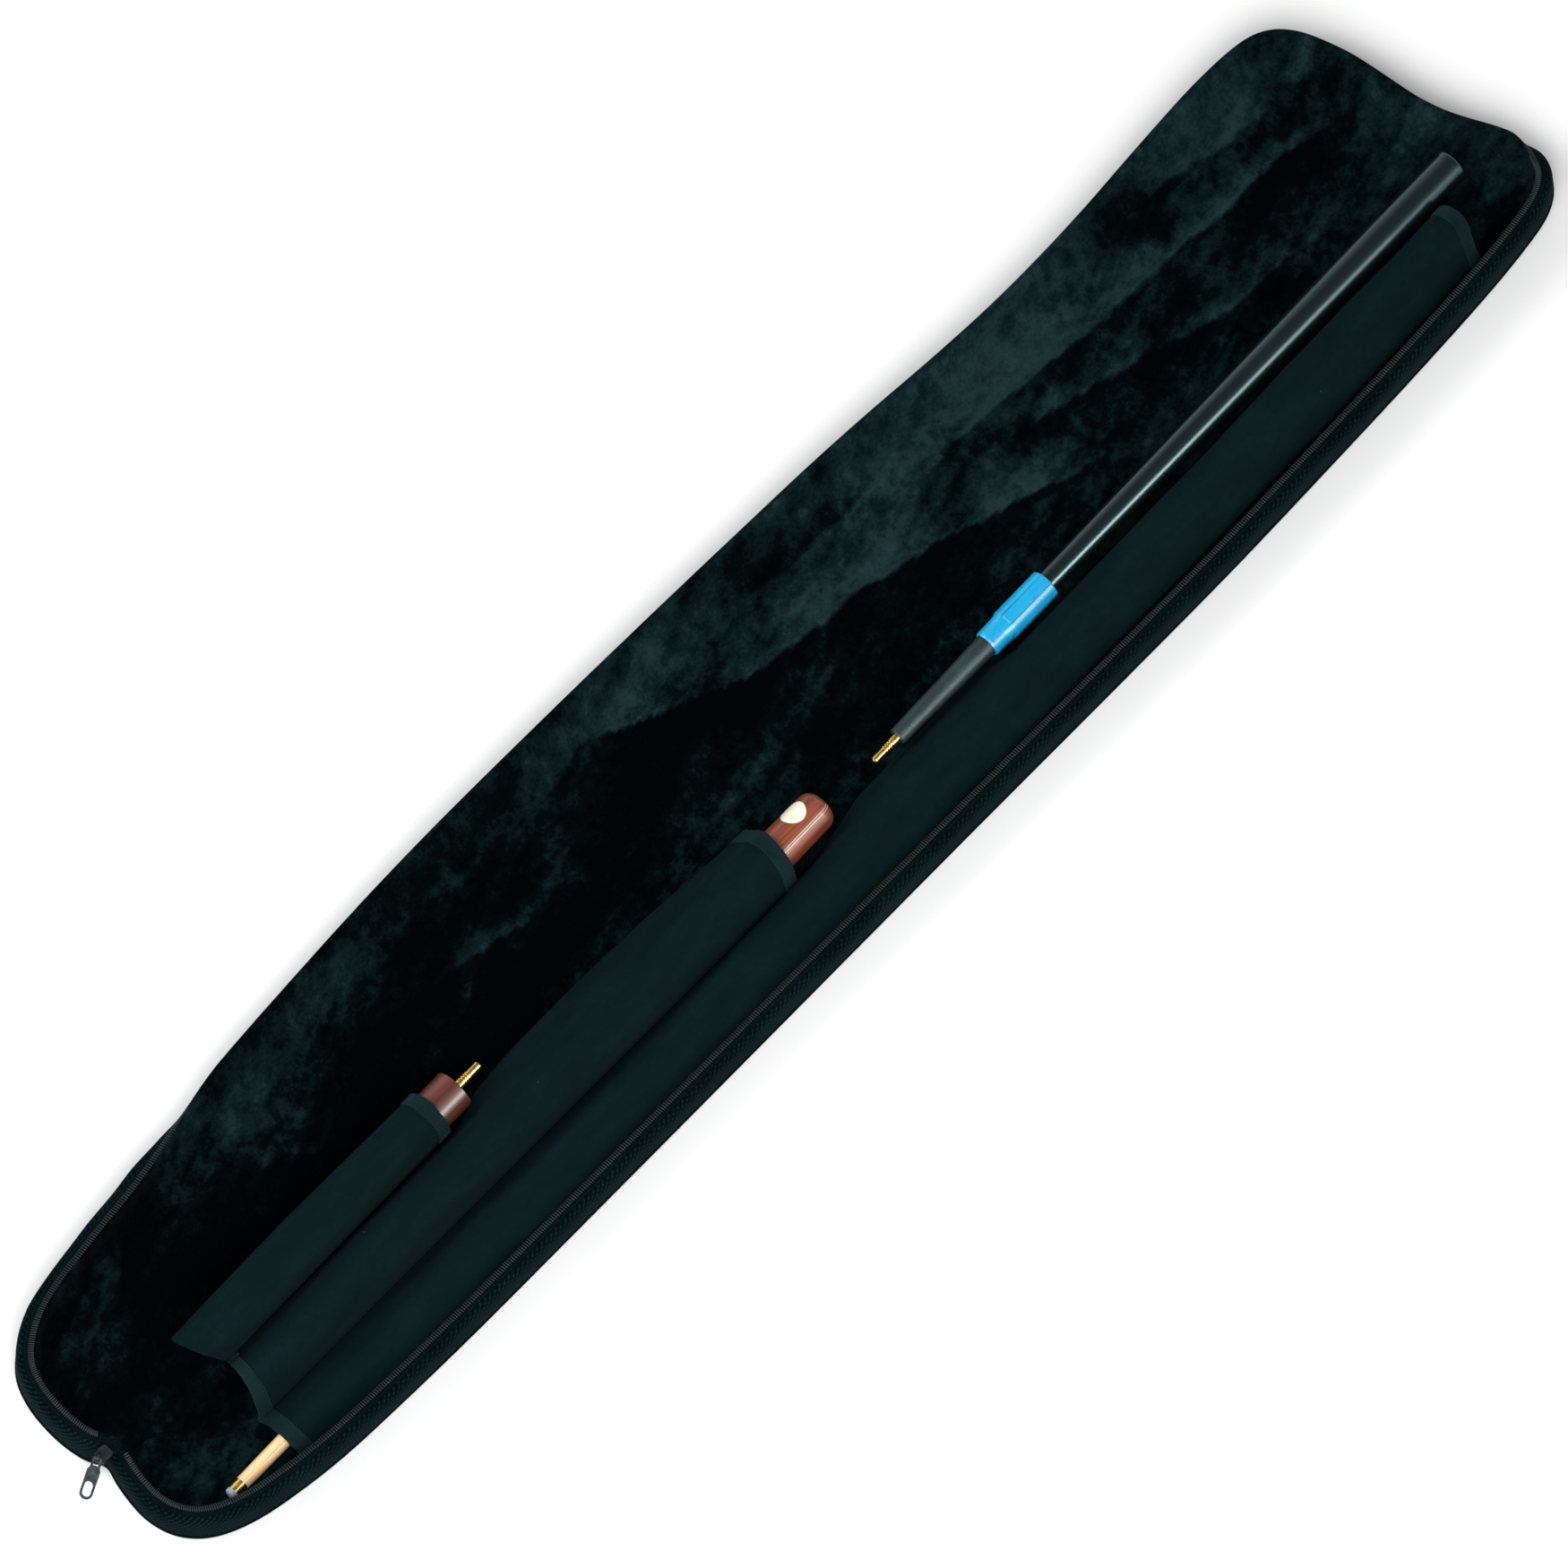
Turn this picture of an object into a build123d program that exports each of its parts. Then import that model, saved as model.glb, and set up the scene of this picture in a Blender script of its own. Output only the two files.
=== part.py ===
from build123d import *
import math
import os

# Soft case for a three-quarter jointed snooker cue, lying open and flat.
# Millimetres. X runs along the case from the zip slider end to the top end, Y across it
# (the empty lid half is +Y, the half with the sleeves is -Y), Z is up from the floor.

# ---- the case -------------------------------------------------------------------------
CASE_LENGTH = 1242.0
HALF_WIDTH = 120.0           # from the spine to the outer edge of each half
PULL_OVERHANG = 19.0         # how far the pull tab stands out past the end of the case
SLIDER_END = -(CASE_LENGTH - PULL_OVERHANG) / 2
TOP_END = SLIDER_END + CASE_LENGTH

SLIDER_CORNER = 58.0         # radius of the outer corners at the slider end
TOP_CORNER = 38.0            # radius of the outer corners at the top end
NOTCH_CORNER = 10.0          # radius of the corners that form the notches on the spine
SPINE_HALF = 8.0             # half width of the flexible spine
SPINE_GAP = 0.3              # between the spine strips and the padded panels
NOTCH_HALF = 7.0             # the walls stop this far from the hinge line

COVER = 1.2                  # outer fabric
FOAM = 3.0
PLUSH = 1.5                  # lining with its pile
FLOOR_TOP = COVER + FOAM + PLUSH
WALL = 6.5                   # padded side wall without its lining
WALL_LINING = 1.0
WALL_TOP = 28.0
TAPE = 0.8
TAPE_WIDTH = 8.0
COIL = 1.0                   # zip coil height
COIL_WIDTH = 1.8

# ---- sleeves sewn to the lining ---------------------------------------------------------
FABRIC = 1.5                 # sleeve wall, both layers of the knit
FLANGE = 0.5                 # where the sleeve lies flat on the lining
SLIP = 0.5                   # room between a sleeve and what it holds
HEM_LENGTH = 12.0
HEM = 0.4                    # binding tape over the edge of a sleeve
SEAM_Y = -54.0               # seam between the shaft sleeve and the butt sleeve
SHAFT_SLEEVE = (98.0, 1191.0)
BUTT_SLEEVE = (100.0, 586.0)
MINI_SLEEVE = (96.0, 314.0)
OUTER_SEAM_Y = -107.0
SHOULDER_Y = -47.0           # inner edge of the shaft sleeve above the butt sleeve
SPINE_SEAM_Y = 4.0           # inner edge of the butt sleeve's flange

# ---- the cue --------------------------------------------------------------------------
SHAFT_Y = -73.0
SHAFT_FROM = 45.0            # tip, measured from the slider end
SHAFT_LENGTH = 1067.0
TIP_R = 4.6
TIP_LENGTH = 3.5
FERRULE_LENGTH = 8.0
SHAFT_R_THIN = 4.75
SHAFT_R_THICK = 12.0
JOINT_COLLAR = 14.0
SHAFT_SOCKET_R = 4.2

BUTT_Y = -39.0
BUTT_FROM = 227.0
BUTT_LENGTH = 406.0
BUTT_R_JOINT = 12.0
BUTT_R_END = 14.5
BUTT_END_FILLET = 8.0
BUTT_TAPER = 90.0            # the last stretch, which narrows a little towards the end
INSERT_R = 6.0
INSERT_BORE_R = 3.6
INSERT_LENGTH = 26.0
BUTT_PIN_R = 4.0
BADGE_R = 8.75
BADGE_TILT = 34.0            # the badge faces up and this many degrees towards the lid
BADGE_BACK = 20.0
INLAY_DEPTH = 0.8
VENEER_TILT = -34.0
VENEER = 0.5
VENEER_GAP = 1.6

MINI_Y = 3.5
MINI_FROM = 109.0
MINI_LENGTH = 228.0
MINI_R = 14.0
PIN_LENGTH = 22.0
PIN_R = 3.4
BUMPER = 9.0

# ---- telescopic extension ---------------------------------------------------------------
EXT_Y = -43.0
EXT_PIN_FROM = 676.0
EXT_PIN_R = 3.0
CONE_LENGTH = 84.0
CONE_R = (6.1, 7.6)
COLLAR_LENGTH = 56.0
COLLAR_PLAIN = 18.0
COLLAR_R = 9.2
RIB_R = 10.4
RIB_COUNT = 8
TUBE_LENGTH = 379.0
TUBE_R = (8.0, 12.0)
TUBE_BORE = 7.2
TUBE_IN_COLLAR = 12.0
INNER_R = 6.6
INNER_LENGTH = 330.0
BUSH_LENGTH = 14.0
BUSH_R = 7.05
CAP_LENGTH = 5.0

# ---- zip slider ---------------------------------------------------------------------------
SLIDER_FRONT = SLIDER_END + 2.0
SLIDER_LENGTH = 11.0
SLIDER_WIDTH = 9.0
WING = 1.2                   # thickness of the slider's two plates
BRIDGE_R = 2.6
BRIDGE_WIRE = 0.6
SLIDER_BOTTOM = 26.5
SLIDER_TOP = 31.0
PIVOT_X = SLIDER_END + 3.0
PIVOT_Z = 33.0
PULL_LENGTH = 28.0
PULL_WIDTH = 8.6
PULL_EYE = (10.5, 5.6)       # length and width of the hole near the tab's free end
PULL_THICK = 1.6
PULL_NECK = 5.0              # width of the cross bar, between the legs' middles
PULL_WIRE = 0.7
PULL_YAW = 20.0              # the tab points out and this many degrees to the -Y side
PULL_DROP = 34.0             # and hangs this many degrees below level

# heights that follow from the layers
SHAFT_SLEEVE_R = (SHAFT_R_THIN + SLIP + FABRIC, SHAFT_R_THICK + SLIP + FABRIC)
BUTT_SLEEVE_R = BUTT_R_END + SLIP + FABRIC
MINI_SLEEVE_R = 17.0
MINI_SLEEVE_Z = FLOOR_TOP + FLANGE + MINI_SLEEVE_R - 0.2
MINI_Z = MINI_SLEEVE_Z - (MINI_SLEEVE_R - FABRIC - SLIP - MINI_R) - 0.2
BUTT_Z = FLOOR_TOP + BUTT_SLEEVE_R
EXT_Z = FLOOR_TOP + FLANGE + 0.4 + TUBE_R[1] + 1.0
SHAFT_TILT = math.degrees(math.atan((SHAFT_R_THICK - SHAFT_R_THIN) / SHAFT_LENGTH))


def station(distance):
    """X of a point that lies this far from the slider end of the case."""
    return SLIDER_END + distance


def box(x, y, z):
    """A block from pairs of limits."""
    size = [high - low for low, high in (x, y, z)]
    middle = [(low + high) / 2 for low, high in (x, y, z)]
    return Pos(*middle) * Box(*size)


def half_plan(inset, side):
    """Plan of one half, moved in on its three outer sides; side is +1 lid, -1 base."""
    low_x = SLIDER_END + inset
    high_x = TOP_END - inset
    far_y = side * (HALF_WIDTH - inset)
    corners = [(low_x, 0), (high_x, 0), (high_x, far_y), (low_x, far_y)]
    near_r = max(NOTCH_CORNER - inset, 1.0)
    radii = [near_r, near_r, TOP_CORNER - inset, SLIDER_CORNER - inset]
    return make_face(FilletPolyline(*corners, radius=radii, close=True))


def slab(inset, side, low, high):
    """A flat layer of one half, from z low to z high."""
    return Pos(0, 0, low) * extrude(half_plan(inset, side), high - low)


def spine_block(side, reach):
    """Everything of one half within reach of the spine."""
    return box((SLIDER_END - 1, TOP_END + 1), sorted((-side * 60, side * reach)), (-1, 90))


def panel(inset, side, low, high):
    """A flat layer that stops at the spine."""
    return slab(inset, side, low, high) - spine_block(side, SPINE_HALF + SPINE_GAP)


def rim(side, outer, inner, low, high):
    """A band that follows the three outer sides, between two insets."""
    ring = slab(outer, side, low, high) - slab(inner, side, low - 1, high + 1)
    return ring - spine_block(side, NOTCH_HALF)


def case_half(name, side):
    """The layers, the wall and the zip of one half."""
    wall_inner = WALL + WALL_LINING
    tape_outer = wall_inner + 1.5 - TAPE_WIDTH
    coil_outer = wall_inner + 1.5 - COIL_WIDTH
    return {
        f"{name}_cover": panel(0, side, 0, COVER),
        f"{name}_foam_pad": panel(wall_inner, side, COVER, COVER + FOAM),
        f"{name}_plush_lining": panel(wall_inner, side, COVER + FOAM, FLOOR_TOP),
        f"{name}_padded_wall": rim(side, 0, WALL, COVER, WALL_TOP),
        f"{name}_wall_lining": rim(side, WALL, wall_inner, COVER, WALL_TOP),
        f"{name}_zip_tape": rim(side, tape_outer, wall_inner + 1.5, WALL_TOP, WALL_TOP + TAPE),
        f"{name}_zip_coil": rim(
            side, coil_outer, wall_inner + 1.5, WALL_TOP + TAPE, WALL_TOP + TAPE + COIL
        ),
    }


def spine():
    """The fabric hinge between the halves, and the small tabs that close its two ends."""
    ends = (SLIDER_END + NOTCH_CORNER, TOP_END - NOTCH_CORNER)
    width = (-SPINE_HALF, SPINE_HALF)
    tab_half = NOTCH_HALF - 2.0
    tab_depth = 2.0
    tabs = [
        box((x, x + tab_depth), (-tab_half, tab_half), (FLOOR_TOP, SLIDER_BOTTOM))
        for x in (ends[0] + 1.0, ends[1] - 1.0 - tab_depth)
    ]
    return {
        "spine_cover_strip": box(ends, width, (0, COVER)),
        "spine_plush_strip": box(ends, width, (COVER, FLOOR_TOP)),
        "spine_end_tabs": Compound(children=tabs),
    }


def turned(points):
    """A solid of revolution about X from (x, radius) points, with straight sides."""
    outline = [(points[0][0], 0)] + list(points) + [(points[-1][0], 0)]
    face = make_face(Polyline(*outline, close=True))
    return revolve(face, Axis.X)


def rod(x, radius, y=0.0, z=0.0):
    """A cylinder or a cone along X between two x values."""
    first, last = radius if isinstance(radius, tuple) else (radius, radius)
    return Pos(0, y, z) * turned([(x[0], first), (x[1], last)])


def tube(x, outer, inner, y=0.0, z=0.0):
    """A straight or tapered tube along X."""
    overlap = 1.0
    return rod(x, outer, y, z) - rod((x[0] - overlap, x[1] + overlap), inner, y, z)


def on_shaft_axis(part):
    """Lay a part made along X from the origin on the shaft's slightly rising axis."""
    start_z = FLOOR_TOP + SHAFT_SLEEVE_R[0]
    return Pos(station(SHAFT_FROM), SHAFT_Y, start_z) * Rot(0, -SHAFT_TILT, 0) * part


def shaft_radius(distance):
    """Radius of the tapered shaft at a distance from its tip."""
    grow = (SHAFT_R_THICK - SHAFT_R_THIN) / SHAFT_LENGTH
    return SHAFT_R_THIN + grow * distance


def shaft_core(first, last, extra):
    """The shaft made thicker by extra, between two distances from the slider end."""
    start, end = first - SHAFT_FROM, last - SHAFT_FROM
    return on_shaft_axis(rod((start, end), (shaft_radius(start) + extra, shaft_radius(end) + extra)))


def shaft_tube(first, last, outer_extra, inner_extra):
    """A tapered sleeve around the shaft, between two distances from the slider end."""
    return shaft_core(first, last, outer_extra) - shaft_core(first - 1, last + 1, inner_extra)


def flange(first, last, y, holes):
    """The flat part of a sleeve, sewn to the lining, without the room for its channel."""
    flat = box((station(first), station(last)), y, (FLOOR_TOP, FLOOR_TOP + FLANGE))
    for hole in holes:
        flat = flat - hole
    return flat


def sleeves():
    """Three fabric sleeves, each a round channel with flat flanges, and their bound hems."""
    top_a = SHAFT_SLEEVE[1]
    top_b = BUTT_SLEEVE[1]
    above_b = top_b + 14.0
    shaft_channel = shaft_core(SHAFT_SLEEVE[0] - 10, top_a + 10, SLIP)
    butt_channel = rod((station(0), station(top_b + 60)), BUTT_SLEEVE_R - FABRIC, BUTT_Y, BUTT_Z)

    shaft_round = shaft_tube(*SHAFT_SLEEVE, SLIP + FABRIC, SLIP)
    shaft_low = flange(SHAFT_SLEEVE[0], above_b, (OUTER_SEAM_Y, SEAM_Y - 1.5), [shaft_channel])
    shaft_high = flange(above_b, top_a, (OUTER_SEAM_Y, SHOULDER_Y), [shaft_channel])
    butt_round = tube(
        (station(BUTT_SLEEVE[0]), station(top_b)),
        BUTT_SLEEVE_R,
        BUTT_SLEEVE_R - FABRIC,
        BUTT_Y,
        BUTT_Z,
    )
    butt_flat = flange(BUTT_SLEEVE[0], top_b, (SEAM_Y - 1.0, SPINE_SEAM_Y), [butt_channel])
    mini_ends = (station(MINI_SLEEVE[0]), station(MINI_SLEEVE[1]))
    mini_round = tube(mini_ends, MINI_SLEEVE_R, MINI_SLEEVE_R - FABRIC, MINI_Y, MINI_SLEEVE_Z)
    mini_round = mini_round - butt_flat
    return {
        "shaft_sleeve": shaft_round + shaft_low + shaft_high,
        "butt_sleeve": butt_round + butt_flat,
        "mini_butt_sleeve": mini_round,
    }


def hems():
    """Binding tape over the open edges of the sleeves, as thin collars on the channels."""
    above_floor = box((SLIDER_END, TOP_END), (-HALF_WIDTH, HALF_WIDTH), (FLOOR_TOP + FLANGE, 60))

    def shaft_hem(first):
        return shaft_tube(first, first + HEM_LENGTH, SLIP + FABRIC + HEM, SLIP + FABRIC)

    def butt_hem(first):
        ends = (station(first), station(first + HEM_LENGTH))
        return tube(ends, BUTT_SLEEVE_R + HEM, BUTT_SLEEVE_R, BUTT_Y, BUTT_Z)

    def mini_hem(first):
        ends = (station(first), station(first + HEM_LENGTH))
        return tube(ends, MINI_SLEEVE_R + HEM, MINI_SLEEVE_R, MINI_Y, MINI_SLEEVE_Z)

    return {
        "shaft_sleeve_top_hem": shaft_hem(SHAFT_SLEEVE[1] - HEM_LENGTH) & above_floor,
        "shaft_sleeve_bottom_hem": shaft_hem(SHAFT_SLEEVE[0]) & above_floor,
        "butt_sleeve_top_hem": butt_hem(BUTT_SLEEVE[1] - HEM_LENGTH) & above_floor,
        "butt_sleeve_bottom_hem": butt_hem(BUTT_SLEEVE[0]) & above_floor,
        "mini_butt_sleeve_hem": mini_hem(MINI_SLEEVE[1] - HEM_LENGTH) & above_floor,
    }


def joint_pin(base_x, direction, radius, y, z):
    """Brass joint pin: plain shoulder, three grooves, slim pilot with a rounded end."""
    groove = 0.7
    pilot = radius * 0.82
    shoulder, ring, gap = 6.0, 1.0, 0.9
    points = [(0, radius), (shoulder, radius)]
    reach = shoulder
    for _ in range(3):
        points += [(reach, radius - groove), (reach + gap, radius - groove)]
        points += [(reach + gap, radius), (reach + gap + ring, radius)]
        reach += gap + ring
    points += [(reach, pilot), (PIN_LENGTH - 1.0, pilot), (PIN_LENGTH, pilot - 1.0)]
    pin = turned(points)
    if direction < 0:
        pin = Rot(0, 0, 180) * pin
    return Pos(base_x, y, z) * pin


def cue_shaft():
    """Ash shaft with its leather tip, brass ferrule and brass joint."""
    collar_from = SHAFT_LENGTH - JOINT_COLLAR
    wood_from = TIP_LENGTH + FERRULE_LENGTH
    socket = rod((collar_from, SHAFT_LENGTH + 1.0), SHAFT_SOCKET_R)
    wood = rod((wood_from, collar_from), (shaft_radius(wood_from), shaft_radius(collar_from)))
    collar = rod((collar_from, SHAFT_LENGTH), (shaft_radius(collar_from), SHAFT_R_THICK))
    ferrule = rod((TIP_LENGTH, wood_from), SHAFT_R_THIN)
    tip = turned([(0, TIP_R - 1.6), (0.5, TIP_R - 0.7), (1.2, TIP_R - 0.1), (TIP_LENGTH, TIP_R)])
    return {
        "shaft_wood": on_shaft_axis(wood),
        "shaft_ferrule": on_shaft_axis(ferrule),
        "shaft_leather_tip": on_shaft_axis(tip),
        "shaft_joint_collar": on_shaft_axis(collar - socket),
    }


def butt_profile(shrink):
    """The butt without its inlays; shrink makes the same shape smaller all round."""
    start, end = station(BUTT_FROM + JOINT_COLLAR), station(BUTT_FROM + BUTT_LENGTH)
    radius = BUTT_R_END - shrink
    body = turned([(start, BUTT_R_JOINT - shrink), (end - BUTT_TAPER, radius), (end - shrink, radius - 1.0)])
    rim_edge = body.edges().filter_by(GeomType.CIRCLE).sort_by(Axis.X)[-1]
    return Pos(0, BUTT_Y, BUTT_Z) * fillet(rim_edge, BUTT_END_FILLET - shrink)


def cue_butt():
    """Hardwood butt with a plain badge, two veneer lines, its joint and its end socket."""
    start, end = station(BUTT_FROM), station(BUTT_FROM + BUTT_LENGTH)
    body = butt_profile(0)
    skin = body - butt_profile(INLAY_DEPTH)
    badge_tool = Rot(BADGE_TILT * -1, 0, 0) * Pos(0, 0, 20) * Cylinder(BADGE_R, 40)
    badge_tool = Pos(end - BADGE_BACK, BUTT_Y, BUTT_Z) * badge_tool
    lines = []
    for offset in (0.0, VENEER_GAP):
        line = box((start + 60, end + 1), (offset, offset + VENEER), (0, 20))
        lines.append(Pos(0, BUTT_Y, BUTT_Z) * Rot(VENEER_TILT * -1, 0, 0) * line)
    socket = rod((end - INSERT_LENGTH, end + 1.0), INSERT_R, BUTT_Y, BUTT_Z)
    veneer = (skin & (lines[0] + lines[1])) - socket
    badge = skin & badge_tool
    insert = tube((end - INSERT_LENGTH, end), INSERT_R, INSERT_BORE_R, BUTT_Y, BUTT_Z)
    joint = rod((start, start + JOINT_COLLAR), BUTT_R_JOINT, BUTT_Y, BUTT_Z)
    return {
        "butt_wood": body - veneer - badge - socket,
        "butt_badge": badge,
        "butt_veneer_lines": veneer,
        "butt_end_insert": insert,
        "butt_joint_collar": joint,
        "butt_joint_pin": joint_pin(start, -1, BUTT_PIN_R, BUTT_Y, BUTT_Z),
    }


def mini_butt():
    """Short butt extension with a brass pin at the top and a rubber bumper below."""
    start, end = station(MINI_FROM), station(MINI_FROM + MINI_LENGTH)
    wood = rod((start + BUMPER, end), MINI_R, MINI_Y, MINI_Z)
    end_edge = wood.edges().filter_by(GeomType.CIRCLE).sort_by(Axis.X)[-1]
    bumper = rod((start, start + BUMPER), MINI_R - 0.3, MINI_Y, MINI_Z)
    bumper_edge = bumper.edges().filter_by(GeomType.CIRCLE).sort_by(Axis.X)[0]
    return {
        "mini_butt_wood": fillet(end_edge, 0.8),
        "mini_butt_bumper": fillet(bumper_edge, 4.0),
        "mini_butt_pin": joint_pin(end, 1, PIN_R, MINI_Y, MINI_Z),
    }


def collar_solid(first, last):
    """Twist-lock collar: a plain front, then eight ribs, every second one longer."""
    plain = first + COLLAR_PLAIN
    body = turned([(first, COLLAR_R - 0.6), (first + 1.5, COLLAR_R), (last, COLLAR_R + 0.5)])
    rib_end = [(last - 0.8, RIB_R), (last, RIB_R - 0.6)]
    rib_block = turned([(plain, RIB_R - 0.4), (plain + 0.8, RIB_R)] + rib_end)
    long_block = turned([(plain - 7, COLLAR_R), (plain + 1.0, RIB_R)] + rib_end)
    width = 2 * math.pi * RIB_R / RIB_COUNT - 1.8
    for index in range(RIB_COUNT):
        block = long_block if index % 2 else rib_block
        slot = box((first - 1, last + 1), (-width / 2, width / 2), (0, RIB_R + 2))
        body = body + (block & (Rot(index * 360 / RIB_COUNT, 0, 0) * slot))
    body = body - rod((first - 1, last + 1), 7.8)
    return body - rod((last - TUBE_IN_COLLAR - 0.2, last + 1), TUBE_R[0] + 0.3)


def extension():
    """Telescopic extension: pin, tapered grip, inner tube, twist collar and outer tube."""
    place = Pos(0, EXT_Y, EXT_Z)
    pin_base = station(EXT_PIN_FROM + PIN_LENGTH)
    collar_from = pin_base + CONE_LENGTH
    collar_to = collar_from + COLLAR_LENGTH
    tube_from = collar_to - TUBE_IN_COLLAR
    tube_to = collar_to + TUBE_LENGTH
    grip = turned([(pin_base, CONE_R[0] - 0.6), (pin_base + 1.0, CONE_R[0]), (collar_from, CONE_R[1])])
    grip_core = rod((pin_base + 40.0, collar_from + 1), INNER_R)
    inner_to = collar_from + INNER_LENGTH
    outer = turned(
        [(tube_from, TUBE_R[0]), (collar_to + 1, TUBE_R[0]), (tube_to - 60, TUBE_R[1]), (tube_to, TUBE_R[1])]
    )
    cap = rod((tube_to, tube_to + CAP_LENGTH), TUBE_R[1] + 0.4) + rod((tube_to - 10, tube_to), TUBE_BORE)
    cap_edge = cap.edges().filter_by(GeomType.CIRCLE).sort_by(Axis.X)[-1]
    collet = tube((collar_from + 20, tube_from - 0.3), 7.6, INNER_R + 0.2)
    return {
        "extension_pin": joint_pin(pin_base, -1, EXT_PIN_R, EXT_Y, EXT_Z),
        "extension_grip": place * (grip - grip_core),
        "extension_inner_tube": place * tube((pin_base + 40.0, inner_to), INNER_R, INNER_R - 1.2),
        "extension_guide_bush": place * tube((inner_to - BUSH_LENGTH, inner_to), BUSH_R, INNER_R),
        "extension_collar": place * collar_solid(collar_from, collar_to),
        "extension_collet": place * collet,
        "extension_outer_tube": place * (outer - rod((tube_from - 1, tube_to + 1), TUBE_BORE)),
        "extension_end_cap": place * fillet(cap_edge, 2.0),
    }


def pull_frame(part):
    """Hang a part made along +X from its pivot on the slider, out and down."""
    return Pos(PIVOT_X, 0, PIVOT_Z) * Rot(0, 0, 180 + PULL_YAW) * Rot(0, PULL_DROP, 0) * part


def slider_body():
    """Two wing plates joined by a block, with the bridge that carries the pull tab."""
    ends = (SLIDER_FRONT, SLIDER_FRONT + SLIDER_LENGTH)
    width = (-SLIDER_WIDTH / 2, SLIDER_WIDTH / 2)
    upper = box(ends, width, (SLIDER_TOP - WING, SLIDER_TOP))
    lower = box(ends, width, (SLIDER_BOTTOM, SLIDER_BOTTOM + WING))
    plates = [fillet(plate.edges().filter_by(Axis.Z), 2.5) for plate in (upper, lower)]
    block = box((ends[0] + 1.0, ends[0] + 5.0), (-1.5, 1.5), (SLIDER_BOTTOM, SLIDER_TOP))
    arch = Rot(0, 0, PULL_YAW) * Rot(90, 0, 0) * Torus(BRIDGE_R, BRIDGE_WIRE)
    arch = Pos(PIVOT_X, 0, PIVOT_Z - 0.4) * arch
    arch = arch & box((SLIDER_END - 9, SLIDER_END + 14), (-6, 6), (SLIDER_TOP - 0.2, 60))
    return plates[0] + plates[1] + block + arch


def pull_tab():
    """Blade with a slot-shaped eye, and a cross bar that turns under the slider's bridge."""
    bar = Rot(90, 0, 0) * Cylinder(PULL_WIRE, PULL_NECK)
    legs = [
        box((0, 7.0), (y - PULL_WIRE, y + PULL_WIRE), (-PULL_WIRE, PULL_WIRE))
        for y in (-PULL_NECK / 2, PULL_NECK / 2)
    ]
    blade_middle = (5.5 + PULL_LENGTH) / 2
    blade = RectangleRounded(PULL_LENGTH - 5.5, PULL_WIDTH, 4.0)
    blade = Pos(blade_middle, 0, 0) * extrude(blade, PULL_THICK / 2, both=True)
    eye_middle = PULL_LENGTH - PULL_EYE[0] / 2 - 1.5
    eye = Pos(eye_middle, 0, 0) * extrude(SlotOverall(*PULL_EYE), 3, both=True)
    return pull_frame(bar + legs[0] + legs[1] + blade - eye)


def zip_slider():
    """Slider body, its pull tab, and the stops at the far end of the zip."""
    stop_x = TOP_END - NOTCH_CORNER - 6.0
    stops = [
        box((stop_x, stop_x + 4), sorted((side * 2.0, side * 4.5)), (SLIDER_BOTTOM, 29.5))
        for side in (1, -1)
    ]
    return {
        "zip_slider_body": slider_body(),
        "zip_pull_tab": pull_tab(),
        "zip_top_stops": Compound(children=stops),
    }


def write(parts):
    """One STEP file for each sub-part."""
    os.makedirs("parts", exist_ok=True)
    for name, part in parts.items():
        export_step(part, f"parts/{name}.step")


write(
    case_half("base", -1)
    | case_half("lid", 1)
    | spine()
    | sleeves()
    | hems()
    | cue_shaft()
    | cue_butt()
    | mini_butt()
    | extension()
    | zip_slider()
)
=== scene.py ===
import math
import bmesh
import bpy
import numpy as np
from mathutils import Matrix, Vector


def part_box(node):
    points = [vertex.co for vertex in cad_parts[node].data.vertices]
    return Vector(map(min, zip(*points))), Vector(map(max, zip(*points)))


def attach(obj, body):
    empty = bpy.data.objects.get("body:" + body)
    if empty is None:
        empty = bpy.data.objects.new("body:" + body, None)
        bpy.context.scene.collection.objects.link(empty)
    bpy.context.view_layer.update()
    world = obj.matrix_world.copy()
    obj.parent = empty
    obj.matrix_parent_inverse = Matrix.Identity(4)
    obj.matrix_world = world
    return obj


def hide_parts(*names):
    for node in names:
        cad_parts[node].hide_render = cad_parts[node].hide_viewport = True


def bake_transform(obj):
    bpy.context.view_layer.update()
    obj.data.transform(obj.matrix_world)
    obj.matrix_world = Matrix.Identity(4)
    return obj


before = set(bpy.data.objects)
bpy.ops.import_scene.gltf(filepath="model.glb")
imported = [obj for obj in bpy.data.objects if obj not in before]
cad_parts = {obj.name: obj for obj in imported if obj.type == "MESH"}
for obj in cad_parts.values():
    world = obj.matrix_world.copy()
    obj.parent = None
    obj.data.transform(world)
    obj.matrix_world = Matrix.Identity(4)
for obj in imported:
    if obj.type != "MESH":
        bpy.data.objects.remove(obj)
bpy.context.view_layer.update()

# Looks of the open cue case. Lengths are millimetres until mesh() makes metres of them.
# s is the distance from the slider end of the case, y runs across it from base (-) to lid (+).


def limits(node):
    """Lowest and highest corner of a CAD node in millimetres."""
    low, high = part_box(node)
    return np.array(low) * 1000.0, np.array(high) * 1000.0


X0 = limits("base_cover")[0][0]
OUTLINE_STEP = 0.8  # between the points of the case's outline
KNOT_PARTS = 60  # curve points between two given points of the outline
SOFTENING = 6.0  # how many outline points its corners are rounded over


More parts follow.
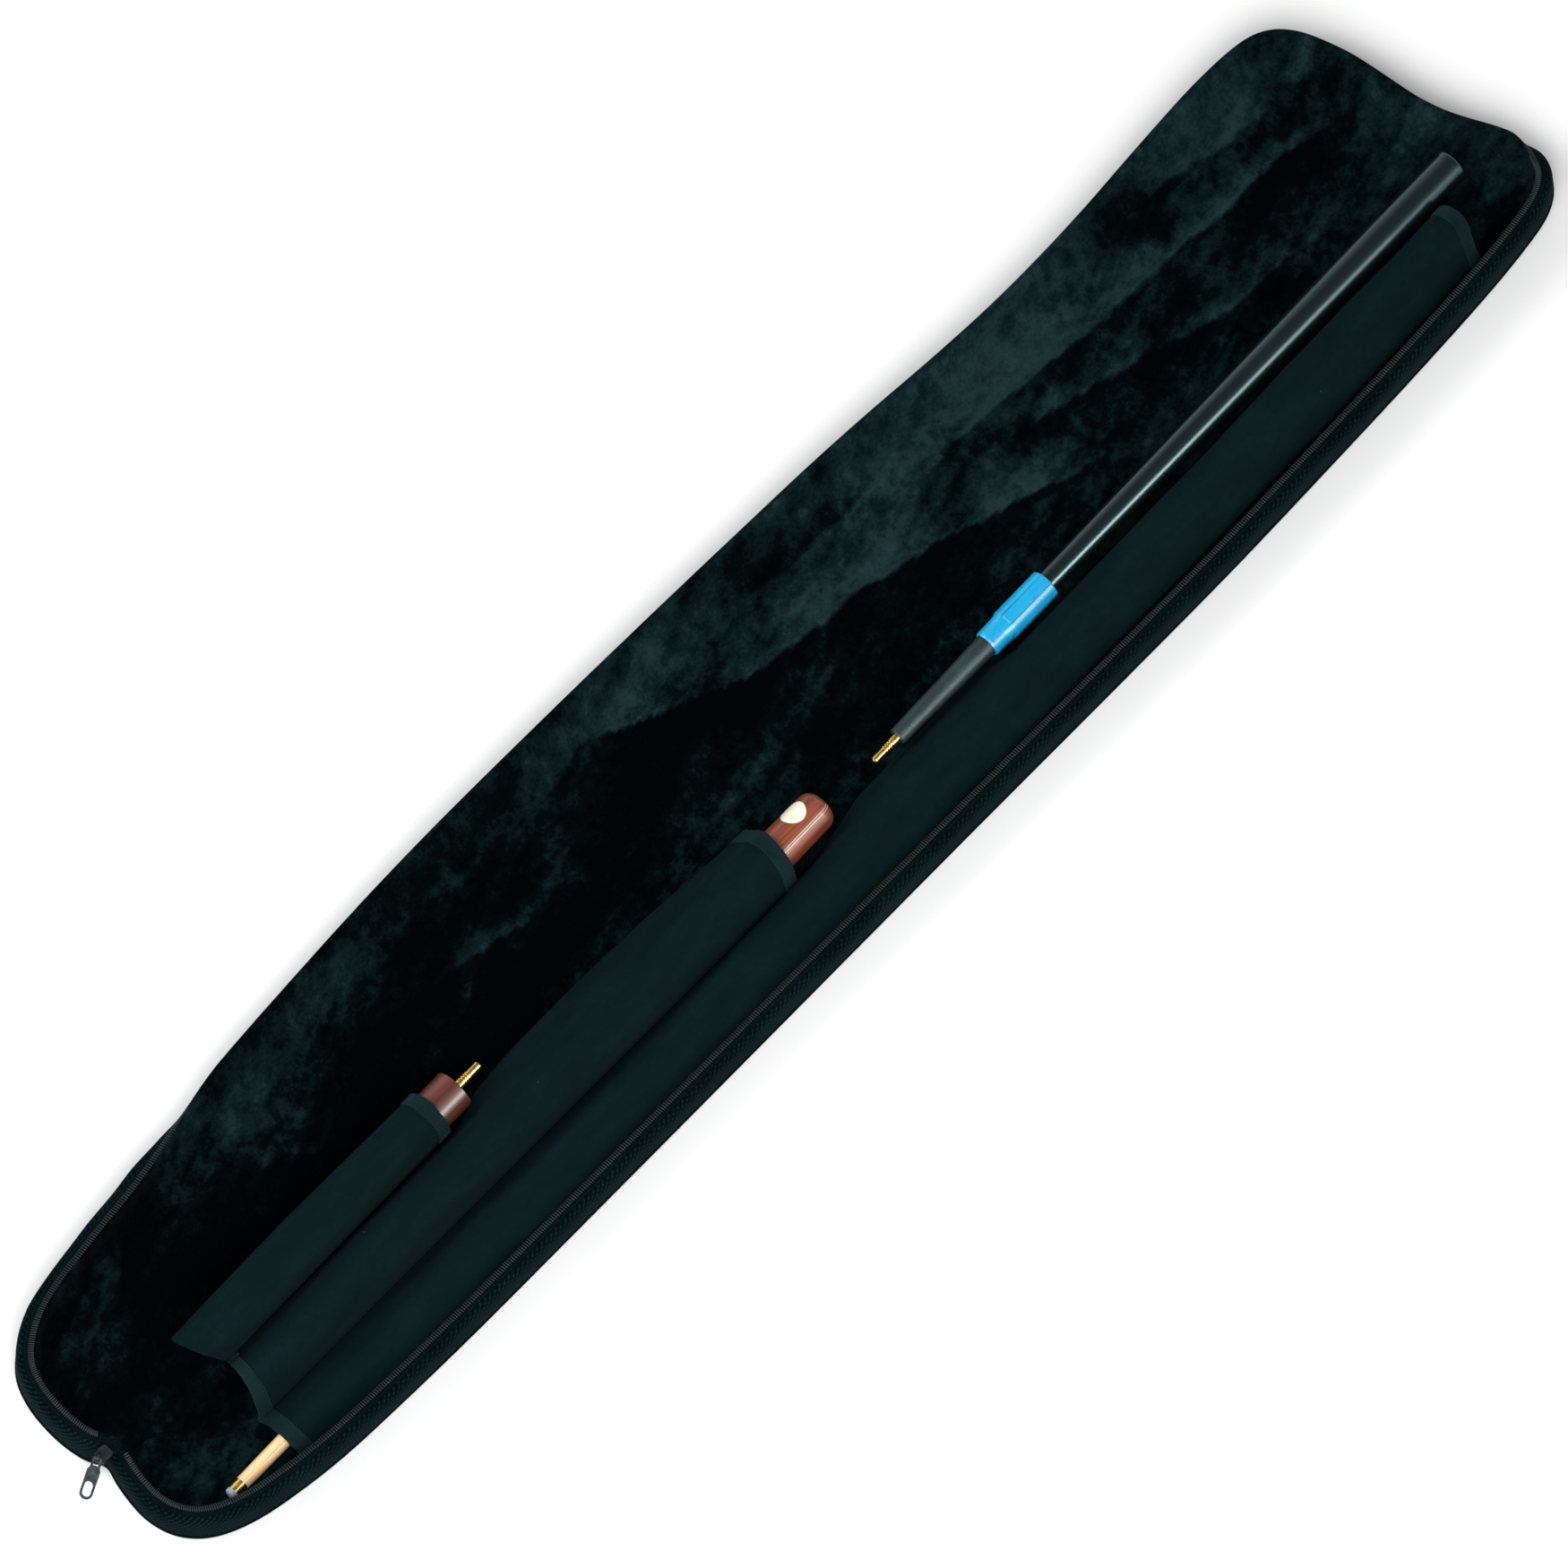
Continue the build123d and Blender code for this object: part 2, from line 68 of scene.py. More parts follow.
# ---------------------------------------------------------------- small tools
def noise(x, y, cell, seed):
    """Smooth value noise from -1 to 1, in cells of the given size."""
    table = np.random.default_rng(seed).uniform(-1, 1, (64, 64))
    u, v = np.asarray(x) / cell, np.asarray(y) / cell
    i, j = np.floor(u).astype(int), np.floor(v).astype(int)
    a, b = u - i, v - j
    a, b = a * a * (3 - 2 * a), b * b * (3 - 2 * b)
    i0, i1, j0, j1 = i % 64, (i + 1) % 64, j % 64, (j + 1) % 64
    low = table[i0, j0] * (1 - a) + table[i1, j0] * a
    high = table[i0, j1] * (1 - a) + table[i1, j1] * a
    return low * (1 - b) + high * b


def ease(value, low, high):
    """0 below low, 1 above high, smooth between."""
    t = np.clip((np.asarray(value, float) - low) / (high - low), 0, 1)
    return t * t * (3 - 2 * t)


def along(value, pairs):
    """Piecewise line through (position, value) pairs."""
    return np.interp(value, [p[0] for p in pairs], [p[1] for p in pairs])


def mesh(name, points, faces, uvs=None, smooth=True):
    """A new object from millimetre points; uvs are one pair for each point."""
    data = bpy.data.meshes.new(name)
    points = np.asarray(points, float)
    data.from_pydata((points / 1000.0).tolist(), [], [tuple(int(k) for k in f) for f in faces])
    if smooth:
        data.polygons.foreach_set("use_smooth", [True] * len(data.polygons))
    if uvs is not None:
        layer = data.uv_layers.new(name="UVMap")
        corner = np.zeros(len(data.loops), int)
        data.loops.foreach_get("vertex_index", corner)
        layer.data.foreach_set("uv", (np.asarray(uvs, float)[corner] / 1000.0).ravel())
    data.update()
    made = bpy.data.objects.new(name, data)
    bpy.context.scene.collection.objects.link(made)
    return made


def grid_faces(rows, columns, wrap_rows=False, wrap_columns=False, start=0, flip=False):
    """Quads of a grid of points stored row by row."""
    i = np.arange(rows if wrap_rows else rows - 1)
    j = np.arange(columns if wrap_columns else columns - 1)
    i, j = np.meshgrid(i, j, indexing="ij")
    i2, j2 = (i + 1) % rows, (j + 1) % columns
    a, b, c, d = (start + p * columns + q for p, q in ((i, j), (i2, j), (i2, j2), (i, j2)))
    order = (a, d, c, b) if flip else (a, b, c, d)
    return np.stack([k.ravel() for k in order], 1)


def grid_normals(points, wrap_columns=False):
    """Unit normals of a grid of points, from its rows and columns."""
    du = np.gradient(points, axis=0)
    if wrap_columns:
        dv = np.roll(points, -1, axis=1) - np.roll(points, 1, axis=1)
    else:
        dv = np.gradient(points, axis=1)
    n = np.cross(du, dv)
    return n / np.maximum(np.linalg.norm(n, axis=2, keepdims=True), 1e-9)


def cloth(name, points, thickness, uvs, wrap_columns=False, outward=1.0):
    """A sheet with a real thickness: points is its outer face, the inner face lies inside it."""
    rows, columns = points.shape[:2]
    normals = grid_normals(points, wrap_columns) * outward
    inner = points - normals * thickness
    both = np.concatenate([points.reshape(-1, 3), inner.reshape(-1, 3)])
    size = rows * columns
    outer_faces = grid_faces(rows, columns, wrap_columns=wrap_columns, flip=outward < 0)
    inner_faces = grid_faces(rows, columns, wrap_columns=wrap_columns, start=size, flip=outward > 0)
    border = []
    for row in (0, rows - 1):
        j = np.arange(columns if wrap_columns else columns - 1)
        k = (j + 1) % columns
        a, b = row * columns + j, row * columns + k
        border.append(np.stack([a, b, size + b, size + a], 1))
    if not wrap_columns:
        for column in (0, columns - 1):
            i = np.arange(rows - 1)
            a, b = i * columns + column, (i + 1) * columns + column
            border.append(np.stack([a, b, size + b, size + a], 1))
    faces = np.concatenate([outer_faces, inner_faces, *border])
    made = mesh(name, both, faces, np.concatenate([uvs.reshape(-1, 2)] * 2))
    fix_normals(made)
    return made


def fix_normals(obj):
    """Consistent outward faces."""
    work = bmesh.new()
    work.from_mesh(obj.data)
    bmesh.ops.recalc_face_normals(work, faces=work.faces)
    work.to_mesh(obj.data)
    work.free()


# ---------------------------------------------------------------- outline of the open case
BASE_EDGE = [
    (11, 0), (7, 9), (3, 25), (1, 44), (6, 64), (20, 80.5), (43, 92), (71, 99), (112, 105), (160, 108),
    (230, 110.5), (330, 112), (450, 113.5), (580, 115), (700, 116.5), (830, 118.5), (930, 119.5),
    (1020, 118.5), (1100, 117), (1170, 114.5), (1215, 111), (1243, 106), (1260, 95), (1266, 79),
    (1264, 64), (1259, 49), (1252, 34), (1245, 18),
]
LID_EDGE = [
    (1240, 0), (1238, 14), (1236, 32), (1233.5, 51), (1229, 69), (1222, 88), (1210, 103), (1190, 111),
    (1150, 113.5), (1095, 111.5), (1040, 108.5), (990, 107.5), (945, 108.5), (895, 112), (845, 116.5),
    (795, 120), (740, 122.5), (680, 125), (610, 127.5), (540, 129.5), (460, 131), (390, 130.5),
    (320, 128), (260, 125), (200, 120.5), (145, 116), (100, 112), (62, 107), (36, 98), (16, 83),
    (7, 66), (3, 48), (2, 28), (5, 9),
]


def outline():
    """Points of the outer edge at even steps, anticlockwise from the slider notch."""
    knots = np.array([(X0 + s, -y) for s, y in BASE_EDGE] + [(X0 + s, y) for s, y in LID_EDGE], float)
    count = len(knots)
    pieces = []
    for k in range(count):
        a, b, c, d = (knots[(k + q) % count] for q in (-1, 0, 1, 2))
        t = np.linspace(0, 1, KNOT_PARTS, endpoint=False)[:, None]
        square, cube = 2 * a - 5 * b + 4 * c - d, 3 * b - a - 3 * c + d
        pieces.append(0.5 * (2 * b + (c - a) * t + square * t**2 + cube * t**3))
    curve = np.concatenate(pieces)
    step = np.linalg.norm(np.roll(curve, -1, 0) - curve, axis=1)
    length = np.concatenate([[0], np.cumsum(step)])
    target = np.arange(0, length[-1], OUTLINE_STEP)
    loop = np.stack([np.interp(target, length, np.append(curve[:, k], curve[0, k])) for k in (0, 1)], 1)
    reach = np.arange(-20, 21)
    weight = np.exp(-0.5 * (reach / SOFTENING) ** 2)
    weight /= weight.sum()
    return sum(w * np.roll(loop, int(r), 0) for w, r in zip(weight, reach))


EDGE = outline()
SPINE = 10.0  # half width of the fine stretch of the grid over the spine
ACROSS_FINE = 24
ACROSS_BASE = 31
ACROSS_LID = 34
ALONG_STEPS = 480


def nearest(point):
    """Index of the outline point closest to the given one."""
    return int(np.argmin(np.linalg.norm(EDGE - np.array(point), axis=1)))


CORNERS = [nearest((X0 + s, y)) for s, y in ((17, -85), (1251, -96), (1211, 95), (19, 87))]


def stretch_of(first, last):
    """Indices of the outline from one corner to the next."""
    if last <= first:
        last += len(EDGE)
    return np.arange(first, last + 1) % len(EDGE)


def levels(low, high):
    """Positions across the case, fine over the spine."""
    base = np.linspace(low, -SPINE, ACROSS_BASE)[:-1]
    middle = np.linspace(-SPINE, SPINE, ACROSS_FINE + 1)[:-1]
    lid = np.linspace(SPINE, high, ACROSS_LID)
    return np.concatenate([base, middle, lid])


def pick(run, axis, wanted):
    """Fractional outline positions where a run of it reaches the wanted coordinates."""
    values = EDGE[run, axis]
    order = np.argsort(values)
    start = run[0]
    offsets = np.arange(len(run))[order]
    return start + np.interp(wanted, values[order], offsets)


def samples():
    """Outline positions for the four sides, in grid order."""
    a, b, c, d = CORNERS
    base_run, top_run = stretch_of(a, b), stretch_of(b, c)
    lid_run, end_run = stretch_of(c, d), stretch_of(d, a)
    base = pick(base_run, 0, np.linspace(EDGE[a, 0], EDGE[b, 0], ALONG_STEPS + 1))
    lid = pick(lid_run, 0, np.linspace(EDGE[d, 0], EDGE[c, 0], ALONG_STEPS + 1))
    top = pick(top_run, 1, levels(EDGE[b, 1], EDGE[c, 1]))
    end = pick(end_run, 1, levels(EDGE[a, 1], EDGE[d, 1]))
    return base, top, lid, end


BASE_AT, TOP_AT, LID_AT, END_AT = samples()
# once round: base side, top end, lid side backwards, slider end backwards
LOOP_AT = np.concatenate([BASE_AT[:-1], TOP_AT[:-1], LID_AT[::-1][:-1], END_AT[::-1][:-1]]) % len(EDGE)


def edge_at(position):
    """Point, inward normal and distance along the outline at fractional positions."""
    extended = np.concatenate([EDGE, EDGE[:1]])
    index = np.arange(len(extended))
    point = np.stack([np.interp(position, index, extended[:, k]) for k in (0, 1)], 1)
    tangent = np.roll(EDGE, -3, 0) - np.roll(EDGE, 3, 0)
    tangent = np.concatenate([tangent, tangent[:1]])
    t = np.stack([np.interp(position, index, tangent[:, k]) for k in (0, 1)], 1)
    t /= np.linalg.norm(t, axis=1, keepdims=True)
    return point, np.stack([-t[:, 1], t[:, 0]], 1), position * OUTLINE_STEP


def rolled(point):
    """How far the rim is turned outwards: 0 stands up, 1 hides the zip behind the plush."""
    s, y = point[:, 0] - X0, point[:, 1]
    lid_side = ease(s, 140, 250) * ease(y, 20, 60)
    top_end = ease(s, 1190, 1215) * ease(y, -88, -55)
    return np.clip(lid_side + top_end, 0, 1)


# Sections of the rim as (inset from the outline, height): where it stands up, and where it is turned out.
BAND_UP = [
    (1.6, 1.2), (0.5, 3.0), (0.0, 7.0), (-0.2, 12.0), (0.0, 17.0), (0.3, 21.5), (1.0, 25.0),
    (2.2, 27.3), (3.8, 28.2), (5.0, 28.3), (5.6, 27.6),
]
BAND_OUT = [
    (4.0, 1.2), (3.0, 3.0), (2.4, 5.5), (2.2, 8.0), (1.8, 10.3), (1.5, 12.4), (1.3, 14.0), (1.3, 15.2),
    (1.5, 16.2), (1.8, 16.9), (2.2, 17.3),
]
TAPE_UP = [(5.3, 27.4), (5.5, 28.5), (7.2, 28.9), (9.0, 29.0), (10.4, 28.9), (10.4, 28.1)]
TAPE_OUT = [(2.2, 17.2), (1.4, 17.3), (1.0, 18.4), (0.9, 19.6), (1.0, 20.8), (1.8, 20.8)]
COIL_UP, COIL_OUT = (10.0, 29.5), (0.7, 21.3)
LINING_UP = [
    (10.2, 28.3), (11.0, 28.5), (12.2, 27.6), (13.0, 24.5), (13.6, 20.0), (14.4, 15.0), (15.8, 10.8),
    (18.2, 8.2), (22.0, 7.0),
]
LINING_OUT = [
    (1.6, 20.6), (0.3, 22.2), (0.0, 24.4), (1.2, 26.6), (4.0, 27.6), (8.0, 25.4), (12.5, 19.8),
    (17.5, 13.4), (24.0, 8.6),
]


def swept(section_up, section_out, position, bulge=0.0):
    """Grid of points: a section carried along the outline, one row for each position."""
    point, inward, run = edge_at(position)
    roll = rolled(point)[:, None]
    up, out = np.array(section_up), np.array(section_out)
    inset = up[None, :, 0] * (1 - roll) + out[None, :, 0] * roll
    height = up[None, :, 1] * (1 - roll) + out[None, :, 1] * roll
    if bulge:
        share = np.sin(np.pi * np.linspace(0, 1, len(up)))[None, :]
        inset = inset - bulge * share * noise(run, run * 0, 23.0, 5)[:, None]
    xy = point[:, None, :] + inward[:, None, :] * inset[:, :, None]
    grid = np.concatenate([xy, height[:, :, None]], 2)
    width = np.concatenate([[0], np.cumsum(np.linalg.norm(np.diff(up, axis=0), axis=1))])
    uv = np.stack(np.broadcast_arrays(run[:, None], width[None, :]), 2)
    return grid, uv


def coons(base, lid, end, top):
    """Grid of points over a patch with the given four sides; rows run along the case."""
    u = np.linspace(0, 1, len(base))[:, None, None]
    y = (end[:, 1] + top[:, 1]) / 2
    v = ((y - y[0]) / (y[-1] - y[0]))[None, :, None]
    sides = (1 - v) * base[:, None] + v * lid[:, None] + (1 - u) * end[None] + u * top[None]
    corners = (1 - u) * (1 - v) * base[0] + u * (1 - v) * base[-1] + (1 - u) * v * lid[0] + u * v * lid[-1]
    return sides - corners


def patch_faces(border_start, loop_count, inner_start, rows, columns):
    """Quads of a patch whose border points are part of a loop and whose inner points follow."""
    index = np.zeros((rows, columns), int)
    a, b = rows - 1, columns - 1
    ring = border_start + np.arange(loop_count)
    index[:, 0] = ring[: a + 1]
    index[-1, :] = ring[a : a + b + 1]
    index[:, -1] = ring[a + b : 2 * a + b + 1][::-1]
    index[0, 1:] = ring[2 * a + b :][::-1]
    index[1:-1, 1:-1] = inner_start + np.arange((rows - 2) * (columns - 2)).reshape(rows - 2, columns - 2)
    corners = (index[:-1, :-1], index[1:, :-1], index[1:, 1:], index[:-1, 1:])
    return np.stack([k.ravel() for k in corners], 1)


def patch_from_loop(loop):
    """The whole grid of a patch whose border is the given loop."""
    rows, columns = len(BASE_AT), len(TOP_AT)
    a, b = rows - 1, columns - 1
    base = loop[: a + 1]
    top = loop[a : a + b + 1]
    lid = loop[a + b : 2 * a + b + 1][::-1]
    end = np.concatenate([loop[2 * a + b :], loop[:1]])[::-1]
    return coons(base, lid, end, top)


# ---------------------------------------------------------------- folds of the plush
# each fold: points (s, y), height, half width on its two sides
FOLDS = [
    ([(1212, 34), (1150, 42), (1080, 47), (1010, 52), (930, 60), (830, 68)], 4.2, 9, 5),
    ([(1140, -8), (1060, -1), (1000, 16), (950, 30), (900, 38)], 3.4, 7, 5),
    (
        [(930, -6), (885, 6), (840, 18), (795, 33), (730, 46), (675, 52), (625, 76), (585, 94), (560, 108)],
        5.2, 10, 6,
    ),
    ([(460, 48), (430, 54), (400, 62), (360, 70), (330, 78)], 3.4, 8, 6),
    ([(132, 100), (112, 84), (92, 62)], 2.4, 8, 6),
    ([(1190, 74), (1120, 80), (1060, 92)], 2.2, 10, 7),
    ([(700, 96), (760, 84), (830, 90)], 1.8, 11, 8),
    ([(300, 30), (250, 42), (210, 66)], 1.8, 9, 8),
    ([(560, 22), (500, 34), (470, 62)], 2.0, 10, 8),
]


def away_from(points, knots):
    """Signed distance from a polyline and the share of its length, for each point."""
    knots = np.array([(X0 + s, y) for s, y in knots], float)
    best = np.full(len(points), 1e9)
    signed = np.zeros(len(points))
    share = np.zeros(len(points))
    total = len(knots) - 1
    for k in range(total):
        a, b = knots[k], knots[k + 1]
        d = b - a
        t = np.clip(((points - a) @ d) / (d @ d), 0, 1)
        off = points - (a + t[:, None] * d)
        distance = np.linalg.norm(off, axis=1)
        side = np.sign(d[0] * off[:, 1] - d[1] * off[:, 0])
        closer = distance < best
        best = np.where(closer, distance, best)
        signed = np.where(closer, distance * side, signed)
        share = np.where(closer, (k + t) / total, share)
    return signed, share


def faded(share, steepness):
    """1 along the middle of a fold, going down to nearly 0 at its two ends."""
    return np.clip(np.sin(np.pi * np.clip(share, 0.02, 0.98)) * steepness, 0, 1)


def fold_height(xy):
    """Height of the soft folds in the lining."""
    high = np.zeros(len(xy))
    wobble = 3.0 * noise(xy[:, 0], xy[:, 1], 38.0, 3)
    for knots, height, left, right in FOLDS:
        signed, share = away_from(xy, knots)
        signed = signed + wobble
        width = np.where(signed > 0, left, right)
        high += height * np.exp(-((signed / width) ** 2)) * faded(share, 1.6)
    x, y = xy[:, 0], xy[:, 1]
    broad = 0.9 * noise(x + 0.6 * y, y - 0.3 * x, 46.0, 11) + 0.5 * noise(x - y, y, 21.0, 12)
    fine = 0.28 * noise(x, y, 7.0, 13) + 0.16 * noise(x, y, 3.4, 14)
    lid = ease(y, 4, 26)
    return high * lid + broad * (0.25 + 0.75 * lid) + fine


# painted sheen and painted shade on the plush, lighter where the nap catches the light and darker in its
# hollows: centre (s, y), half length, half width, turn in degrees, strength
PAINTED_SHEEN_PLACES = [
    (1170, 88, 60, 22, 8, 0.7), (1225, 20, 60, 16, -70, 0.6), (1080, 60, 90, 12, 6, 0.7),
    (960, 92, 120, 26, 2, 1.0), (900, 55, 60, 20, 20, 0.9), (800, 100, 90, 18, -4, 0.8),
    (740, 40, 60, 10, 20, 0.6), (640, 104, 90, 22, 8, 0.9), (700, 70, 60, 16, -14, 0.7),
    (545, 108, 70, 14, 4, 0.9), (420, 56, 60, 7, 14, 0.9), (330, 110, 80, 14, -3, 0.8),
    (250, 92, 70, 22, -12, 1.0), (150, 70, 40, 16, 30, 0.5), (60, -50, 40, 28, 10, 0.6),
    (75, -80, 30, 14, 0, 0.5), (60, 60, 36, 26, 10, 0.3), (1130, -6, 60, 8, 4, 0.5),
    (900, 4, 60, 8, 8, 0.5), (1235, -70, 22, 34, 0, 0.5), (620, 10, 40, 8, 20, 0.35),
    (475, 30, 34, 8, 70, 0.4), (200, 36, 50, 10, 12, 0.35),
]
PAINTED_SHADE_PLACES = [
    (1150, 26, 70, 12, 4, 1.0), (1190, 60, 34, 16, 0, 0.8), (1060, 78, 70, 16, -6, 0.9),
    (1010, 8, 70, 10, 10, 0.8), (905, 30, 40, 14, -40, 1.0), (860, 62, 30, 8, 30, 0.6),
    (820, 30, 60, 8, 18, 0.9), (560, 56, 150, 26, 12, 1.2), (420, 88, 80, 16, 6, 1.1),
    (400, 22, 120, 20, 0, 1.1), (330, 62, 70, 18, 8, 1.0), (220, 34, 90, 22, -4, 1.0),
    (130, 50, 60, 20, 8, 0.9), (110, 96, 44, 10, 8, 0.8), (60, 14, 50, 14, 0, 0.9),
    (40, 88, 24, 12, 40, 0.6), (1080, -16, 60, 8, 0, 0.6), (720, -10, 80, 12, 4, 0.9),
    (1200, -96, 36, 8, 0, 0.9), (90, -20, 50, 10, 0, 0.8),
]


def pile_sheen_and_shade(xy):
    """Painted sheen and shade of the plush, 0 dark to 1 light, laid over the nap's own streaky tone."""
    x, y = xy[:, 0], xy[:, 1]
    warp_x = x + 16 * noise(x, y, 30.0, 21) + 5 * noise(x, y, 9.0, 24)
    warp_y = y + 11 * noise(x, y, 24.0, 22) + 4 * noise(x, y, 8.0, 25)
    along_x, along_y = 0.95 * x + 0.3 * y, 0.95 * y - 0.3 * x
    value = (
        0.36
        + 0.14 * ease(x - X0, 700, 900)
        - 0.10 * (1 - ease(x - X0, 120, 520)) * ease(y, 2, 20)
        + 0.08 * noise(x - 0.5 * y, y + 0.4 * x, 30.0, 23)
        + 0.10 * noise(x, y, 13.0, 26)
    )
    value += 0.13 * noise(along_x / 5.0, along_y, 7.0, 28) + 0.10 * noise(along_x / 3.5, along_y, 3.4, 29)
    # painted sheen patches lighten the plush, painted shade patches darken it
    for sign, places in ((0.24, PAINTED_SHEEN_PLACES), (-0.36, PAINTED_SHADE_PLACES)):
        for s, centre, long, wide, turn, strength in places:
            c, d = math.cos(math.radians(turn)), math.sin(math.radians(turn))
            dx, dy = warp_x - (X0 + s), warp_y - centre
            u, v = (dx * c + dy * d) / long, (dy * c - dx * d) / wide
            value += sign * strength * np.exp(-(u * u + v * v))
    bent = np.stack([x, y + 3.0 * noise(x, y, 38.0, 3) + 1.6 * noise(x, y, 9.0, 30)], 1)
    # painted highlight on the flank of each fold that faces the light, painted shade on its far flank
    for knots, height, lower, upper in FOLDS:
        signed, share = away_from(bent, knots)
        fade = faded(share, 2.2) * height / 4.5
        lit = ease(-signed, -1.6, 1.6)
        value += fade * lit * 0.34 * np.exp(-np.abs(signed) / (4.0 * upper))
        value -= fade * (1 - lit) * 0.40 * np.exp(-np.abs(signed) / (2.2 * lower))
    value += 0.12 * noise(x, y, 4.5, 27) + 0.08 * noise(x, y, 2.6, 33)
    return np.clip(value, 0, 1)


# ---------------------------------------------------------------- case pieces
PADDED_FLOOR = 5.6  # height of the lining on its pad
UNDER_CUE = 6.6  # highest the lining comes under the sleeves
LOWEST_LINING = 2.0


def make_lining():
    """The plush: up over the rim, down the wall and across the floor, with its folds."""
    grid = swept(LINING_UP, LINING_OUT, LOOP_AT)[0]
    count, rings = grid.shape[:2]
    floor = patch_from_loop(grid[:, -1])
    rows, columns = floor.shape[:2]
    inner = floor[1:-1, 1:-1].reshape(-1, 3)
    walls = grid.transpose(1, 0, 2).reshape(-1, 3)
    points = np.concatenate([walls, inner])
    faces = np.concatenate([
        grid_faces(rings, count, wrap_columns=True),
        patch_faces((rings - 1) * count, count, rings * count, rows, columns),
    ])
    near = np.full(len(points), 1.0)
    near[: rings * count] = np.repeat(np.linspace(0.0, 0.55, rings) ** 1.5, count)
    row, column = np.arange(rows - 2)[:, None], np.arange(columns - 2)[None, :]
    steps_in = np.minimum(
        np.minimum(row + 1, (rows - 2) - row) * 2.6,
        np.minimum(column + 1, (columns - 2) - column) * 3.0,
    )
    settle = ease(steps_in, 0, 26)
    near[rings * count:] = (0.55 + 0.45 * settle).ravel()
    inner_part = points[rings * count:]
    inner_part[:, 2] = inner_part[:, 2] * (1 - settle.ravel()) + PADDED_FLOOR * settle.ravel()
    points[:, 2] += near * fold_height(points[:, :2])
    spine_dip = np.exp(-((points[:, 1] - 1.0) / 3.0) ** 2) * near
    points[:, 2] -= 2.2 * spine_dip
    under_cue = ease(points[:, 1], -112, -104) * (1 - ease(points[:, 1], -22, -8))
    height = points[:, 2]
    low = np.minimum(height, UNDER_CUE)
    flat = under_cue * (near > 0.7)
    points[:, 2] = np.where(height > UNDER_CUE, height * (1 - flat) + low * flat, height)
    points[:, 2] = np.maximum(points[:, 2], LOWEST_LINING)
    made = mesh("plush_lining", points, faces, points[:, :2])
    fix_normals(made)
    # this point attribute carries the painted sheen and shade of the plush
    pile_sheen_shade = made.data.attributes.new("pile_sheen_shade", "FLOAT", "POINT")
    pile_sheen_shade.data.foreach_set("value", pile_sheen_and_shade(points[:, :2]).astype(np.float32))
    return made


def make_cover():
    """The outer fabric under the case, turned up a little at its edge."""
    turned_up = [(1.0, 2.4), (2.2, 0.9), (4.0, 0.4)]
    grid = swept(turned_up, [(3.4, 2.4), (4.6, 0.9), (6.4, 0.4)], LOOP_AT)[0]
    count, rings = grid.shape[:2]
    sheet = patch_from_loop(grid[:, -1])
    rows, columns = sheet.shape[:2]
    inner = sheet[1:-1, 1:-1].reshape(-1, 3)
    points = np.concatenate([grid.transpose(1, 0, 2).reshape(-1, 3), inner])
    faces = np.concatenate([
        grid_faces(rings, count, wrap_columns=True),
        patch_faces((rings - 1) * count, count, rings * count, rows, columns),
    ])
    x, y = points[rings * count:, 0], points[rings * count:, 1]
    ripple = 0.45 + 0.4 * noise(x + y, y, 60.0, 31) + 0.2 * noise(x, y, 22.0, 32)
    points[rings * count:, 2] = np.clip(0.25 + ripple, 0.1, 1.6)
    made = mesh("outer_cover", points, faces, points[:, :2])
    fix_normals(made)
    return made


def make_tube(name, centre_up, centre_out, radius, sides=8):
    """A cord of piping once round the outline."""
    angle = np.linspace(0, 2 * np.pi, sides, endpoint=False)
    ring = np.stack([np.cos(angle), np.sin(angle)], 1) * radius
    grid, uv = swept(np.array(centre_up) + ring, np.array(centre_out) + ring, LOOP_AT)
    faces = grid_faces(*grid.shape[:2], wrap_rows=True, wrap_columns=True)
    made = mesh(name, grid.reshape(-1, 3), faces, uv.reshape(-1, 2))
    fix_normals(made)
    return made


def make_band():
    """The twill band round the outside of the padded wall."""
    grid, uv = swept(BAND_UP, BAND_OUT, LOOP_AT, bulge=0.7)
    faces = grid_faces(*grid.shape[:2], wrap_rows=True, flip=True)
    return mesh("rim_band", grid.reshape(-1, 3), faces, uv.reshape(-1, 2))


TAPE_GAP, COIL_GAP = 4.0, 6.5  # how far tape and coil stop from the spine
COIL_PITCH = 1.75
TURN_SIDES = 6


def half_run(side, gap):
    """Outline positions of one half, from slider notch to top notch, leaving a gap at the spine."""
    point = edge_at(LOOP_AT)[0]
    keep = (point[:, 1] < -gap) if side < 0 else (point[:, 1] > gap)
    order = np.argsort(LOOP_AT[keep])
    return LOOP_AT[keep][order]


def make_tape(name, side):
    """The zip tape of one half."""
    run = half_run(side, TAPE_GAP)
    grid, uv = swept(TAPE_UP, TAPE_OUT, run)
    return cloth(name, grid, 0.5, uv, outward=-1.0)


